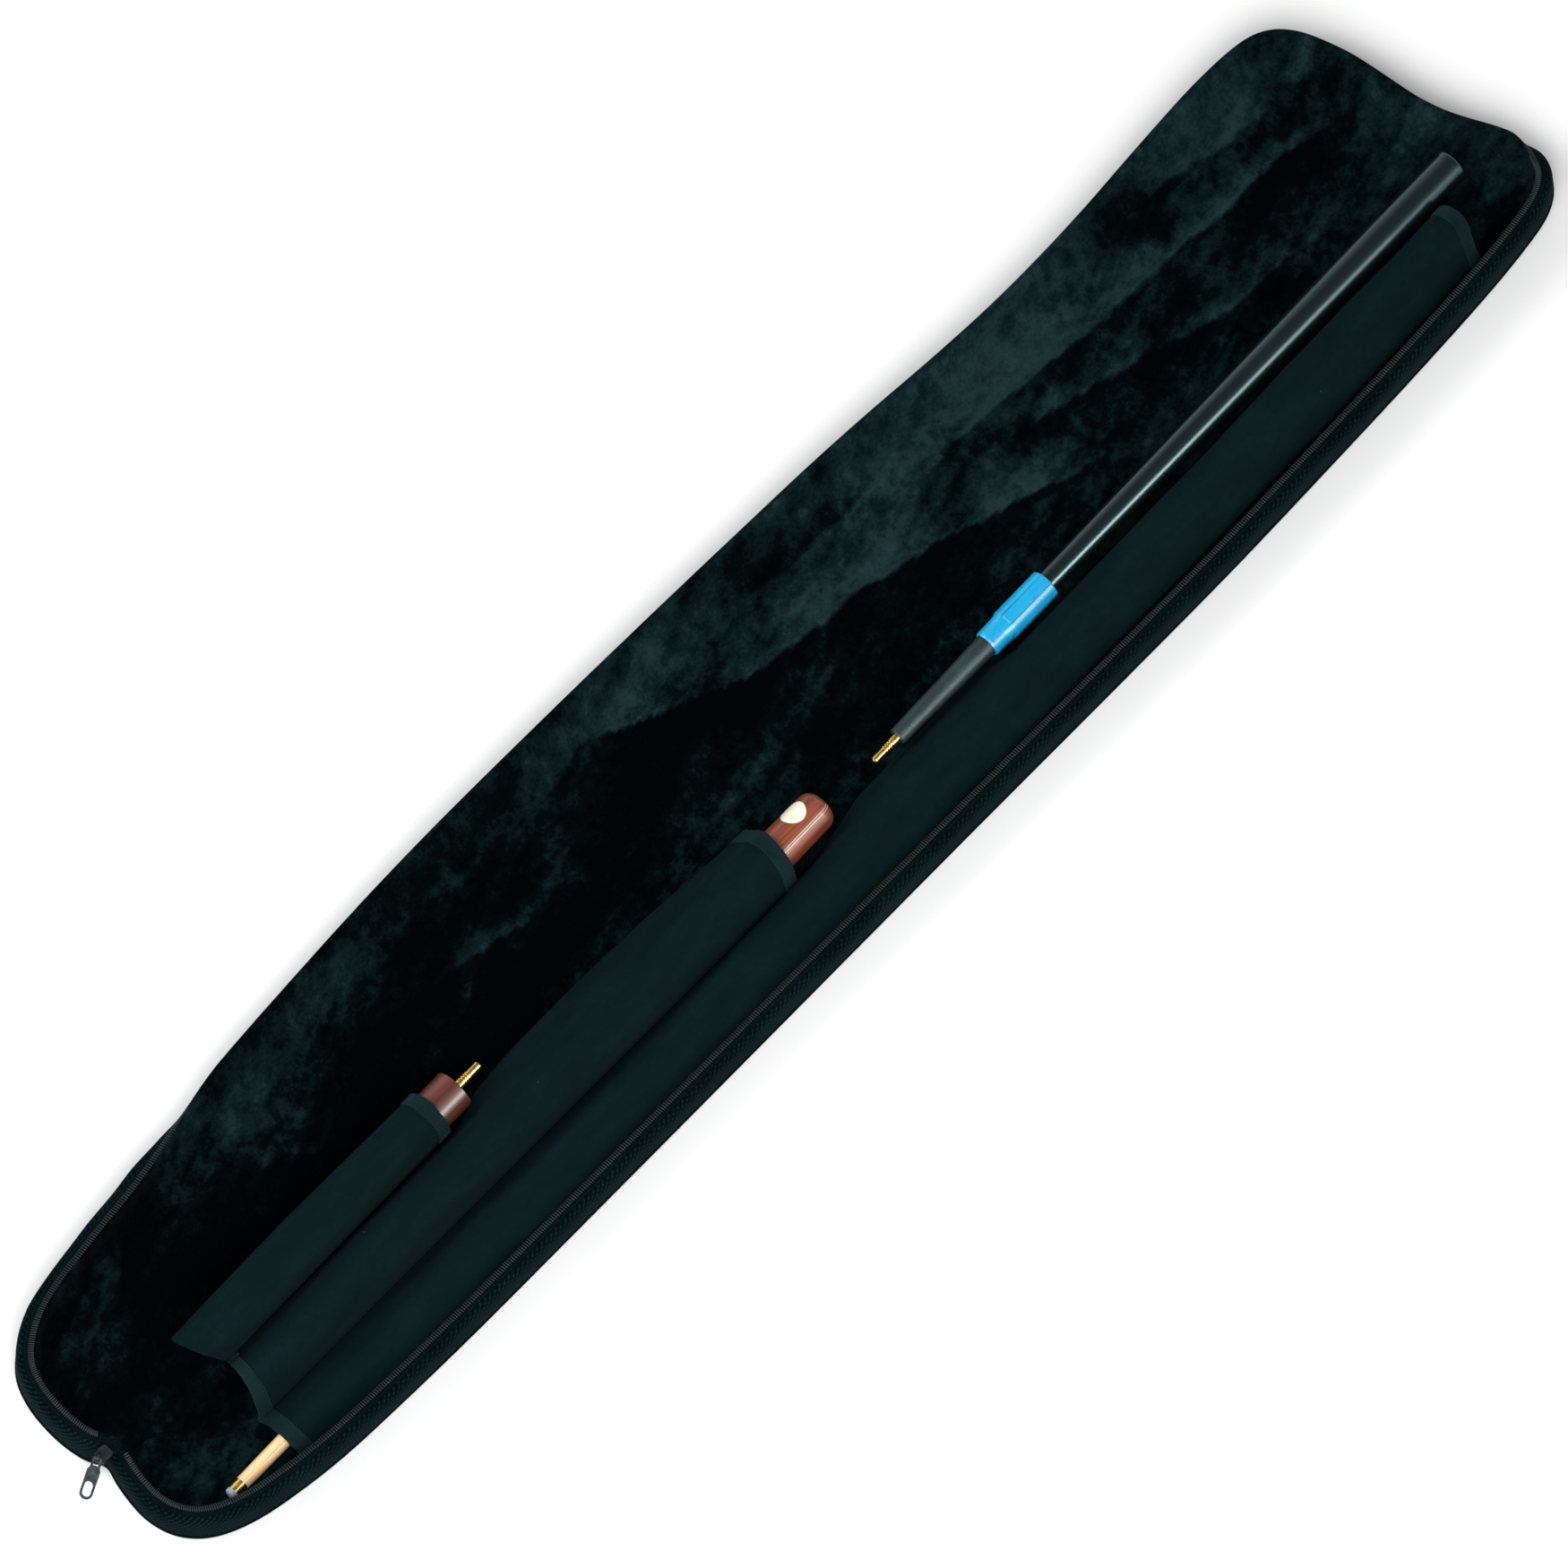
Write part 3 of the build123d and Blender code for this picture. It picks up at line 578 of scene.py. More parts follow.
def make_coil(name, side):
    """The zip coil, turn by turn."""
    run = half_run(side, COIL_GAP)
    position = np.arange(run[0], run[-1], COIL_PITCH / OUTLINE_STEP)
    point, inward = edge_at(position)[:2]
    roll = rolled(point)[:, None]
    centre = np.array(COIL_UP) * (1 - roll) + np.array(COIL_OUT) * roll
    tilt = roll[:, 0] * math.radians(100)
    xy = point + inward * centre[:, :1]
    origin = np.concatenate([xy, centre[:, 1:]], 1)
    lie = np.stack([inward[:, 0] * np.cos(tilt), inward[:, 1] * np.cos(tilt), np.sin(tilt)], 1)
    run_way = np.stack([-inward[:, 1], inward[:, 0], np.zeros(len(point))], 1)
    up = np.cross(lie, run_way)
    up *= np.where((up[:, 2:] + 1e-6) < 0, -1, 1)
    outline_of_turn = [
        (-2.0, 0.25, 0.15), (-1.6, 0.55, 0.55), (0.0, 0.62, 0.75), (1.5, 0.55, 0.7), (2.0, 0.28, 0.3),
    ]
    angle = np.linspace(0, 2 * np.pi, TURN_SIDES, endpoint=False)
    rings = []
    for across, wide, high in outline_of_turn:
        for a in angle:
            rings.append(
                origin
                + lie * across
                + run_way * (wide * math.cos(a) + 0.09 * across)
                + up * (high * math.sin(a) + 0.1)
            )
    points = np.stack(rings, 1)
    count = len(outline_of_turn) * TURN_SIDES
    one = [tuple(f) for f in grid_faces(len(outline_of_turn), TURN_SIDES, wrap_columns=True)]
    one += [tuple(range(TURN_SIDES - 1, -1, -1)), tuple(range(count - TURN_SIDES, count))]
    faces = [tuple(k * count + q for q in f) for k in range(len(points)) for f in one]
    made = mesh(name, points.reshape(-1, 3), faces)
    fix_normals(made)
    return made


def make_tabs():
    """Tape that closes the rim across the spine at both notches."""
    points, faces, uvs = [], [], []
    for at in (END_AT, TOP_AT):
        position = at[np.abs(edge_at(at % len(EDGE))[0][:, 1]) < 8.5] % len(EDGE)
        grid, uv = swept(
            [(4.6, 28.0), (5.6, 28.4), (8.0, 28.5), (10.0, 28.4), (11.2, 27.6), (12.0, 24.0)],
            [(1.8, 17.4), (1.0, 18.6), (0.7, 20.0), (0.6, 21.6), (0.9, 23.0), (2.0, 24.0)],
            position,
        )
        faces.append(grid_faces(*grid.shape[:2], start=sum(len(p) for p in points)))
        points.append(grid.reshape(-1, 3))
        uvs.append(uv.reshape(-1, 2))
    return mesh("notch_tabs", np.concatenate(points), np.concatenate(faces), np.concatenate(uvs))


CLIP_SIDES = 12


def make_stops():
    """A crimped metal clip over the last turns of each zip coil, beside the notch at the top end."""
    points, faces = [], []
    for side in (-1, 1):
        run = TOP_AT[(side * edge_at(TOP_AT % len(EDGE))[0][:, 1] > 6.0)] % len(EDGE)
        start = run[0] if side > 0 else run[-1]
        steps = start + side * np.array([-0.2, 0.0, 0.4, 3.6, 4.0, 4.2]) / OUTLINE_STEP
        shrink = np.array([0.3, 0.85, 1.0, 1.0, 0.85, 0.3])
        angle = np.linspace(0, 2 * np.pi, CLIP_SIDES, endpoint=False)
        oval = np.stack([2.5 * np.cos(angle), 1.15 * np.sin(angle)], 1)
        rows = []
        for at, k in zip(steps, shrink):
            up, out = np.array(COIL_UP) + oval * k, np.array(COIL_OUT) + oval[:, ::-1] * k
            rows.append(swept(up, out, np.array([at]))[0][0])
        grid = np.array(rows)
        start_at = sum(len(p) for p in points)
        faces += [tuple(f) for f in grid_faces(*grid.shape[:2], wrap_columns=True, start=start_at)]
        for first in (start_at, start_at + (len(steps) - 1) * CLIP_SIDES):
            faces.append(tuple(first + q for q in range(CLIP_SIDES)))
        points.append(grid.reshape(-1, 3))
    made = mesh("zip_stop_clips", np.concatenate(points), faces)
    fix_normals(made)
    return made


lining = make_lining()
cover = make_cover()
band = make_band()
piping = make_tube("bottom_piping", (0.9, 2.2), (3.3, 2.2), 1.5)
groove_cord = make_tube("rim_seam_cord", (5.5, 27.7), (1.9, 17.2), 0.5, sides=6)
tapes = [make_tape("base_zip_tape_cloth", -1), make_tape("lid_zip_tape_cloth", 1)]
tabs = make_tabs()
clips = make_stops()
coils = [make_coil("base_zip_turns", -1), make_coil("lid_zip_turns", 1)]


# ---------------------------------------------------------------- what lies in the case
BUTT_SLEEVE_EDGE = [
    (98, -10), (200, -13), (314, -14), (326, -11), (345, -4), (380, -1), (440, -1.5), (500, -4), (560, -9),
    (586, -11.5),
]


def centre_and_radius(node):
    """Middle of a CAD node and half its height."""
    low, high = limits(node)
    return (low + high) / 2, (high - low)[2] / 2


def shaft_line(s):
    """Height and radius of the shaft at distances from the slider end."""
    thin, thin_r = centre_and_radius("shaft_ferrule")
    thick_low, thick_high = limits("shaft_joint_collar")
    thick = (thick_low + thick_high) / 2
    thick_r = (thick_high - thick_low)[1] / 2
    places = [(thin[0] - X0, thin[2]), (thick[0] - X0, thick[2])]
    slope = (np.asarray(s, float) - places[0][0]) / (places[1][0] - places[0][0])
    height = places[0][1] + slope * (places[1][1] - places[0][1])
    return height, np.clip(thin_r + slope * (thick_r - thin_r), thin_r, thick_r)


SHAFT_Y = centre_and_radius("shaft_wood")[0][1]
BUTT_C = centre_and_radius("butt_wood")[0]
STATION_STEP = 4.0  # between the cross sections of a sleeve
ACROSS_SLEEVE = 44  # points in the cross section of a flat sleeve
CLOTH_THICK = 1.1


def ends(node):
    """Where a CAD node begins and ends along the case."""
    low, high = limits(node)
    return low[0] - X0, high[0] - X0


def upper_hull(points):
    """The taut line over a set of (y, z) points, from left to right."""
    points = points[np.argsort(points[:, 0], kind="stable")]
    hull = []
    for p in points:
        while len(hull) > 1:
            a, b = hull[-2], hull[-1]
            if (b[0] - a[0]) * (p[1] - a[1]) - (b[1] - a[1]) * (p[0] - a[0]) >= 0:
                hull.pop()
            else:
                break
        hull.append(p)
    return np.array(hull)


def even(path, count):
    """count points at equal steps along a path."""
    step = np.linalg.norm(np.diff(path, axis=0), axis=1)
    length = np.concatenate([[0], np.cumsum(step)])
    target = np.linspace(0, length[-1], count)
    return np.stack([np.interp(target, length, path[:, k]) for k in (0, 1)], 1)


def draped(left, right, cores, puff, count):
    """Cross section of cloth from left to right over round cores (y, z, radius), puffed out a little."""
    angle = np.linspace(0.02, np.pi - 0.02, 50)
    points = [np.array([left, right])]
    for y, z, r in cores:
        points.append(np.stack([y + r * np.cos(angle), z + r * np.sin(angle)], 1))
    line = even(upper_hull(np.concatenate(points)), count)
    tangent = np.gradient(line, axis=0)
    tangent /= np.linalg.norm(tangent, axis=1, keepdims=True)
    normal = np.stack([-tangent[:, 1], tangent[:, 0]], 1)
    share = np.linspace(0, 1, count)
    return line + normal * (puff * np.sin(np.pi * share) ** 0.8)[:, None]


def seam_y(s):
    """The seam between the shaft sleeve and the butt sleeve."""
    places = [
        (90, -52), (586, -61), (600, -60.5), (625, -54), (655, -48.5), (770, -47.5), (792, -54.6),
        (1200, -56.6),
    ]
    return along(s, places)


def seam_z(s):
    """Height of that seam: between the two sleeves it is held up off the floor."""
    return along(s, [(98, 8), (220, 12), (560, 14), (600, 12), (640, 6.9), (1200, 6.9)])


def sleeve_stations(first, last):
    """Where the cross sections of a sleeve are."""
    return np.linspace(first, last, int(round((last - first) / STATION_STEP)) + 1)


def wrinkled(grid, normals, amount, seed):
    """Soft folds that run along the sleeve."""
    x, y = grid[:, :, 0], grid[:, :, 1]
    low = noise(x / 90.0 * 10, y / 9.0 * 10, 10.0, seed)
    small = noise(x, y, 14.0, seed + 1) * 0.35 + noise(x / 3, y, 6.0, seed + 2) * 0.25
    share = np.sin(np.pi * np.linspace(0, 1, grid.shape[1]))[None, :] ** 0.5
    return grid + normals * ((low + small) * amount * share)[:, :, None]


def sheet_uv(grid):
    """Place along the case and way across the cloth, for each point of a sleeve."""
    steps = np.linalg.norm(np.diff(grid, axis=1), axis=2)
    across = np.concatenate([np.zeros((grid.shape[0], 1)), np.cumsum(steps, 1)], 1)
    return np.stack([grid[:, :, 0], across], 2)


def shaft_sleeve():
    """The long sleeve, from the rim over the shaft to the seam."""
    first, last = ends("shaft_sleeve")
    rows = []
    for s in sleeve_stations(first, last):
        height, radius = shaft_line(s)
        outer = along(s, [(98, -98), (200, -101), (900, -103.5), (1100, -101.5), (1191, -98.5)])
        attached = along(s, [(98, 12), (180, 18), (320, 21), (1100, 21), (1191, 17)])
        inner = float(seam_y(s))
        cores = [(SHAFT_Y, float(height), float(radius + 2.1))]
        soft = float(along(s, [(98, 1.2), (300, 1.6), (650, 2.2), (1191, 1.8)]))
        section = draped((outer, attached), (inner, float(seam_z(s))), cores, soft, ACROSS_SLEEVE)
        rows.append(np.concatenate([np.full((ACROSS_SLEEVE, 1), X0 + s), section], 1))
    grid = np.array(rows)
    grid = wrinkled(grid, grid_normals(grid), 0.9, 41)
    return slanted(grid, [(0, -2.0), (0.5, -3.4), (1, -1.0)], [(0, -6.0), (0.45, 3.0), (1, 1.5)])


def slanted(grid, first_pairs, last_pairs):
    """Moves the two open ends along the case, by amounts that vary across the sleeve."""
    share = np.linspace(0, 1, grid.shape[1])
    first, last = along(share, first_pairs), along(share, last_pairs)
    length = np.linspace(0, 1, grid.shape[0])[:, None]
    reach = 0.05
    start = (1 - ease(length, 0, reach)) * first[None, :]
    stop = ease(length, 1 - reach, 1) * last[None, :]
    grid = grid.copy()
    grid[:, :, 0] += start + stop
    return grid


def butt_sleeve():
    """The middle sleeve, from the seam over the butt to its own edge on the lining."""
    first, last = ends("butt_sleeve")
    rows = []
    for s in sleeve_stations(first, last):
        left = float(along(s, BUTT_SLEEVE_EDGE))
        sizes = [(98, 10.5), (160, 12.5), (215, 14.4), (400, 15.6), (560, 17.2), (586, 17.4)]
        size = float(along(s, sizes))
        high = float(along(s, [(98, 17.5), (227, BUTT_C[2] - 0.6), (586, BUTT_C[2])]))
        middle = float(along(s, [(98, -32), (227, -36), (400, BUTT_C[1])]))
        inner = float(along(s, [(90, -52), (586, -61)]))
        cores = [(middle, high, size)]
        if s < 330:
            cores.append((middle + 8, high - 4, size * 0.8))
        high_side = float(along(s, [(98, 11), (130, 15), (300, 15), (335, 7)]))
        section = draped((inner, float(seam_z(s))), (left, high_side), cores, 1.8, ACROSS_SLEEVE)
        rows.append(np.concatenate([np.full((ACROSS_SLEEVE, 1), X0 + s), section], 1))
    grid = np.array(rows)
    grid = wrinkled(grid, grid_normals(grid), 0.8, 51)
    return slanted(grid, [(0, -3.0), (0.5, 3.0), (1, 12.0)], [(0, -2.5), (0.5, 2.5), (1, 3.0)])


def mini_sleeve():
    """The short sleeve, once round the mini butt."""
    first, last = ends("mini_butt_sleeve")
    rows = []
    count = 64
    angle = np.linspace(0, 2 * np.pi, count, endpoint=False)
    for s in sleeve_stations(first, last):
        middle = float(along(s, [(96, 5.0), (200, 5.0), (314, 3.4)]))
        wide = float(along(s, [(96, 17.6), (200, 18.0), (314, 16.6)]))
        tall = float(along(s, [(96, 14.5), (130, 16.2), (314, 16.6)]))
        centre = float(along(s, [(96, 20.5), (130, 22.2), (314, 22.8)]))
        c, d = np.cos(angle), np.sin(angle)
        y = middle + wide * np.sign(c) * np.abs(c) ** 0.92
        z = centre + tall * np.sign(d) * np.abs(d) ** 0.92
        z = np.maximum(z, 5.9 + 0.25 * np.maximum(z - 5.9, -2.0))
        rows.append(np.stack([np.full(count, X0 + s), y, z], 1))
    grid = np.array(rows)
    ring = angle[None, :] * 17.0
    x = grid[:, :, 0]
    dent = 0.45 * noise(x / 6, ring * 1.0, 9.0, 61) + 0.2 * noise(x, ring, 12.0, 62)
    dent = dent * np.sin(angle / 2)[None, :] ** 2
    grid = grid + grid_normals(grid, wrap_columns=True) * dent[:, :, None]
    share = (1 - ease(np.linspace(0, 1, len(grid)), 0, 0.14))[:, None]
    slant = 5.0 - 6.0 * np.cos(angle)[None, :] - 6.5 * np.sin(angle)[None, :]
    grid[:, :, 0] += share * slant
    return grid


def edge_band(name, grid, at_start, width, seed, wrap=False, flare=1.0):
    """Binding tape folded over an open end of a sleeve, lying on the cloth behind it."""
    rows = grid if at_start else grid[::-1]
    normals = grid_normals(rows, wrap)
    middle = rows[:, :, 1:].mean(1, keepdims=True)
    facing = np.sum(normals[:, :, 1:] * (rows[:, :, 1:] - middle), axis=(1, 2))
    normals = normals * np.sign(facing)[:, None, None]
    back = np.linalg.norm(rows - rows[:1], axis=2).mean(1)
    way = rows[0] - rows[3]
    way /= np.linalg.norm(way, axis=1, keepdims=True)
    count = rows.shape[1]
    share = np.linspace(0, 1, count)
    wave = noise(share * 60, share * 0, 7.0, seed)
    at_ends = np.exp(-((share / 0.06) ** 2)) + np.exp(-(((1 - share) / 0.06) ** 2))
    out = np.zeros(count) if wrap else flare * at_ends
    section = [
        (-width, -0.3), (-width - 0.1, 0.6), (-width + 0.8, 0.95), (-width + 2.0, 0.75),
        (-width * 0.5, 0.95), (-2.4, 0.8), (-1.2, 1.0), (0.3, 0.85), (1.0, 0.1), (0.9, -1.2), (0.0, -1.8),
        (-4.0, -1.9),
    ]
    made = []
    for forward, lift in section:
        behind = max(-forward, 0.0)
        k = min(int(np.searchsorted(back, behind, side="right")) - 1, len(back) - 2)
        f = (behind - back[k]) / (back[k + 1] - back[k])
        line = rows[k] * (1 - f) + rows[k + 1] * f
        normal = normals[k] * (1 - f) + normals[k + 1] * f
        push = max(forward, 0.0) + (0.6 * wave + out) * (forward > -3.5)
        raised = lift + 0.15 * wave * (lift > 0)
        made.append(line + way * (push * np.ones(count))[:, None] + normal * raised[:, None])
    band_grid = np.array(made)
    run = np.concatenate([[0], np.cumsum(np.linalg.norm(np.diff(rows[0], axis=0), axis=1))])
    steps = [math.dist(a, b) for a, b in zip(section, section[1:])]
    length = np.concatenate([[0], np.cumsum(steps)])
    uv = np.stack(np.broadcast_arrays(run[None, :], length[:, None]), 2)
    faces = grid_faces(*band_grid.shape[:2], wrap_columns=wrap)
    obj = mesh(name, band_grid.reshape(-1, 3), faces, uv.reshape(-1, 2))
    fix_normals(obj)
    return obj


shaft_grid, butt_grid, mini_grid = shaft_sleeve(), butt_sleeve(), mini_sleeve()
shaft_cloth = cloth("shaft_sleeve_cloth", shaft_grid, CLOTH_THICK, sheet_uv(shaft_grid))
butt_cloth = cloth("butt_sleeve_cloth", butt_grid, CLOTH_THICK, sheet_uv(butt_grid))
mini_cloth = cloth(
    "mini_sleeve_cloth", mini_grid, CLOTH_THICK, sheet_uv(mini_grid), wrap_columns=True, outward=-1.0
)
hems = {
    "shaft_top_binding": edge_band("shaft_top_binding", shaft_grid, False, seed=71, flare=1.5, width=8.0),
    "shaft_bottom_binding": edge_band("shaft_bottom_binding", shaft_grid, True, seed=72, width=10.0),
    "butt_top_binding": edge_band("butt_top_binding", butt_grid, False, seed=73, flare=2.0, width=9.5),
    "butt_bottom_binding": edge_band("butt_bottom_binding", butt_grid, True, seed=74, width=8.0),
    "mini_top_binding": edge_band("mini_top_binding", mini_grid, False, wrap=True, seed=75, width=9.0),
}

corner = butt_grid[:4, -9:-1]
fold_of_tape = cloth("butt_tape_end", corner + grid_normals(corner) * 2.6, 1.2, sheet_uv(corner))


# ---------------------------------------------------------------- materials
def colour(red, green, blue):
    """A screen colour, 0 to 255, as linear light."""
    out = []
    for value in (red, green, blue):
        v = value / 255.0
        out.append(v / 12.92 if v <= 0.04045 else ((v + 0.055) / 1.055) ** 2.4)
    return (*out, 1.0)


class Paint:
    """A node material with a few shorthands."""

    def __init__(self, name):
        self.material = bpy.data.materials.new(name)
        self.material.use_nodes = True
        self.nodes = self.material.node_tree.nodes
        self.links = self.material.node_tree.links
        self.shader = self.nodes["Principled BSDF"]

    def node(self, kind):
        return self.nodes.new(kind)

    def link(self, source, target):
        self.links.new(source, target)

    def set(self, **values):
        for key, value in values.items():
            self.shader.inputs[key.replace("_", " ")].default_value = value

    def place(self, kind, scale=(1, 1, 1), turn=(0, 0, 0)):
        """Texture coordinates, from UV or Object, scaled and turned."""
        coordinates = self.node("ShaderNodeTexCoord")
        mapping = self.node("ShaderNodeMapping")
        mapping.inputs["Scale"].default_value = scale
        mapping.inputs["Rotation"].default_value = [math.radians(t) for t in turn]
        self.link(coordinates.outputs[kind], mapping.inputs["Vector"])
        return mapping.outputs["Vector"]

    def noise(self, vector, scale, detail=3.0, rough=0.5):
        made = self.node("ShaderNodeTexNoise")
        made.inputs["Scale"].default_value = scale
        made.inputs["Detail"].default_value = detail
        made.inputs["Roughness"].default_value = rough
        self.link(vector, made.inputs["Vector"])
        return made.outputs["Fac"]

    def ramp(self, factor, stops):
        made = self.node("ShaderNodeValToRGB")
        ramp = made.color_ramp
        while len(ramp.elements) < len(stops):
            ramp.elements.new(0.5)
        for element, (position, value) in zip(ramp.elements, stops):
            element.position = position
            element.color = value if not isinstance(value, (int, float)) else (value, value, value, 1)
        self.link(factor, made.inputs["Fac"])
        return made.outputs["Color"]

    def maths(self, operation, first, second):
        made = self.node("ShaderNodeMath")
        made.operation = operation
        for socket, value in zip(made.inputs, (first, second)):
            if isinstance(value, (int, float)):
                socket.default_value = value
            else:
                self.link(value, socket)
        return made.outputs[0]

    def mix(self, factor, first, second):
        """From the linked first colour to the constant second one."""
        made = self.node("ShaderNodeMix")
        made.data_type = "RGBA"
        self.link(factor, made.inputs[0])
        self.link(first, made.inputs[6])
        made.inputs[7].default_value = second
        return made.outputs[2]

    def bump(self, height, distance, strength):
        made = self.node("ShaderNodeBump")
        made.inputs["Distance"].default_value = distance
        made.inputs["Strength"].default_value = strength
        self.link(height, made.inputs["Height"])
        self.link(made.outputs["Normal"], self.shader.inputs["Normal"])

    def finish(self, base, roughness=None):
        self.link(base, self.shader.inputs["Base Color"])
        if roughness is not None:
            self.link(roughness, self.shader.inputs["Roughness"])
        return self.material


def plush_paint():
    p = Paint("plush_pile")
    where = p.place("Object")
    tufts = p.noise(where, 420.0, 4.0, 0.65)
    clumps = p.noise(p.place("Object", (1, 1.6, 1), (0, 0, 24)), 95.0, 4.0, 0.6)
    # the attribute brings in the painted sheen and shade of the plush, which the ramp below turns into colour
    lie = p.node("ShaderNodeAttribute")
    lie.attribute_name = "pile_sheen_shade"
    speckled = lie.outputs["Fac"]
    for texture, amount in ((clumps, 0.55), (tufts, 0.65)):
        change = p.maths("MULTIPLY", p.maths("SUBTRACT", texture, 0.5), amount)
        speckled = p.maths("ADD", speckled, change)
    shades = [(0.06, (0, 2, 2)), (0.32, (1, 7, 8)), (0.62, (11, 26, 28)), (1.0, (28, 48, 50))]
    base = p.ramp(speckled, [(position, colour(*shade)) for position, shade in shades])
    p.set(Roughness=0.95, Sheen_Weight=0.02, Sheen_Roughness=0.4)
    p.set(Sheen_Tint=colour(120, 160, 168), Specular_IOR_Level=0.01)
    height = p.maths("ADD", p.maths("MULTIPLY", tufts, 0.6), p.maths("MULTIPLY", clumps, 1.4))
    p.bump(height, 0.0016, 0.9)
    return p.finish(base)


def knit_paint():
    p = Paint("sleeve_knit")
    fine = p.noise(p.place("UV", (1.0, 2.2, 1)), 900.0, 2.0, 0.6)
    soft = p.noise(p.place("Object", (1, 3, 3)), 26.0, 4.0, 0.55)
    felt = p.noise(p.place("Object"), 240.0, 5.0, 0.7)
    lint = p.node("ShaderNodeTexVoronoi")
    lint.inputs["Scale"].default_value = 34.0
    p.link(p.place("Object"), lint.inputs["Vector"])
    speck = p.ramp(lint.outputs["Distance"], [(0.0, 0.75), (0.016, 0.35), (0.024, 0.0)])
    value = p.maths("ADD", p.maths("MULTIPLY", soft, 0.7), p.maths("MULTIPLY", felt, 0.5))
    base = p.ramp(value, [(0.35, colour(3, 17, 19)), (0.6, colour(5, 21, 24)), (0.85, colour(9, 27, 30))])
    base = p.mix(speck, base, colour(80, 92, 92))
    p.set(Roughness=0.92, Sheen_Weight=0.03, Sheen_Roughness=0.5)
    p.set(Sheen_Tint=colour(120, 160, 168), Specular_IOR_Level=0.03)
    p.bump(p.maths("ADD", fine, p.maths("MULTIPLY", felt, 0.8)), 0.0005, 0.55)
    return p.finish(base)


WAVE_PERIOD = 314.0  # millimetres between the ribs of a wave texture at scale 1


def weave_paint(name, dark, middle, light, turn, pitch, sheen):
    """Woven cloth with diagonal or straight ribs, pitch in millimetres."""
    p = Paint(name)
    rib = p.node("ShaderNodeTexWave")
    rib.inputs["Scale"].default_value = WAVE_PERIOD / pitch
    rib.inputs["Distortion"].default_value = 0.6
    rib.inputs["Detail"].default_value = 2.0
    rib.inputs["Detail Scale"].default_value = 2.0
    p.link(p.place("UV", (1, 1, 1), (0, 0, turn)), rib.inputs["Vector"])
    cross = p.node("ShaderNodeTexWave")
    cross.inputs["Scale"].default_value = WAVE_PERIOD / pitch
    cross.inputs["Distortion"].default_value = 0.4
    p.link(p.place("UV", (1, 1, 1), (0, 0, turn + 78)), cross.inputs["Vector"])
    worn = p.noise(p.place("Object"), 30.0, 5.0, 0.6)
    grain = p.noise(p.place("Object"), 600.0, 2.0, 0.6)
    crossing = p.maths("ADD", p.maths("MULTIPLY", cross.outputs["Fac"], 0.5), 0.5)
    threads = p.maths("MULTIPLY", rib.outputs["Fac"], crossing)
    value = p.maths("ADD", p.maths("MULTIPLY", threads, 0.5), p.maths("MULTIPLY", worn, 0.6))
    value = p.maths("ADD", value, p.maths("MULTIPLY", grain, 0.15))
    base = p.ramp(value, [(0.3, dark), (0.6, middle), (0.95, light)])
    p.set(Roughness=0.9, Sheen_Weight=sheen, Sheen_Roughness=0.4, Specular_IOR_Level=0.02)
    p.set(Specular_Tint=(0.4, 0.85, 1, 1), Sheen_Tint=colour(120, 170, 178))
    p.bump(p.maths("ADD", threads, p.maths("MULTIPLY", grain, 0.3)), 0.0005, 0.8)
    return p.finish(base)


def wood_paint(name, stops, line_stops, scale, roughness, coat):
    p = Paint(name)
    broad = p.noise(p.place("Object", (0.06, 1, 1)), scale, 5.0, 0.62)
    lines = p.noise(p.place("Object", (0.02, 1, 1)), scale * 3.2, 3.0, 0.6)
    pores = p.noise(p.place("Object", (0.05, 1, 1)), scale * 14.0, 2.0, 0.5)
    base = p.ramp(broad, stops)
    base = p.mix(p.ramp(lines, [(0.52, 0.0), (0.66, 1.0)]), base, line_stops[0])
    base = p.mix(p.ramp(pores, [(0.6, 0.0), (0.75, 0.6)]), base, line_stops[1])
    p.set(Roughness=roughness, Coat_Weight=coat, Coat_Roughness=0.12)
    p.bump(pores, 0.0001, 0.3)
    return p.finish(base)


def metal_paint(name, light, dark, roughness, metallic=1.0):
    p = Paint(name)
    worn = p.noise(p.place("Object"), 160.0, 4.0, 0.6)
    turned = p.noise(p.place("Object", (14, 1, 1)), 90.0, 2.0, 0.5)
    base = p.ramp(worn, [(0.35, dark), (0.65, light)])
    both = p.maths("ADD", p.maths("MULTIPLY", worn, 0.5), p.maths("MULTIPLY", turned, 0.5))
    rough = p.ramp(both, [(0.3, roughness * 0.75), (0.7, roughness * 1.3)])
    p.set(Metallic=metallic)
    p.bump(turned, 0.00008, 0.4)
    return p.finish(base, rough)


def plastic_paint(name, light, dark, roughness, grain, depth, coat=0.0, specular=0.5, tint=(1, 1, 1, 1)):
    p = Paint(name)
    spread = p.noise(p.place("Object"), 45.0, 3.0, 0.6)
    fine = p.noise(p.place("Object"), grain, 3.0, 0.6)
    both = p.maths("ADD", p.maths("MULTIPLY", spread, 0.5), p.maths("MULTIPLY", fine, 0.5))
    base = p.ramp(both, [(0.35, dark), (0.65, light)])
    p.set(Roughness=roughness, Coat_Weight=coat, Coat_Roughness=0.05)
    p.set(Specular_IOR_Level=specular, Specular_Tint=tint)
    p.bump(fine, depth, 0.6)
    return p.finish(base)


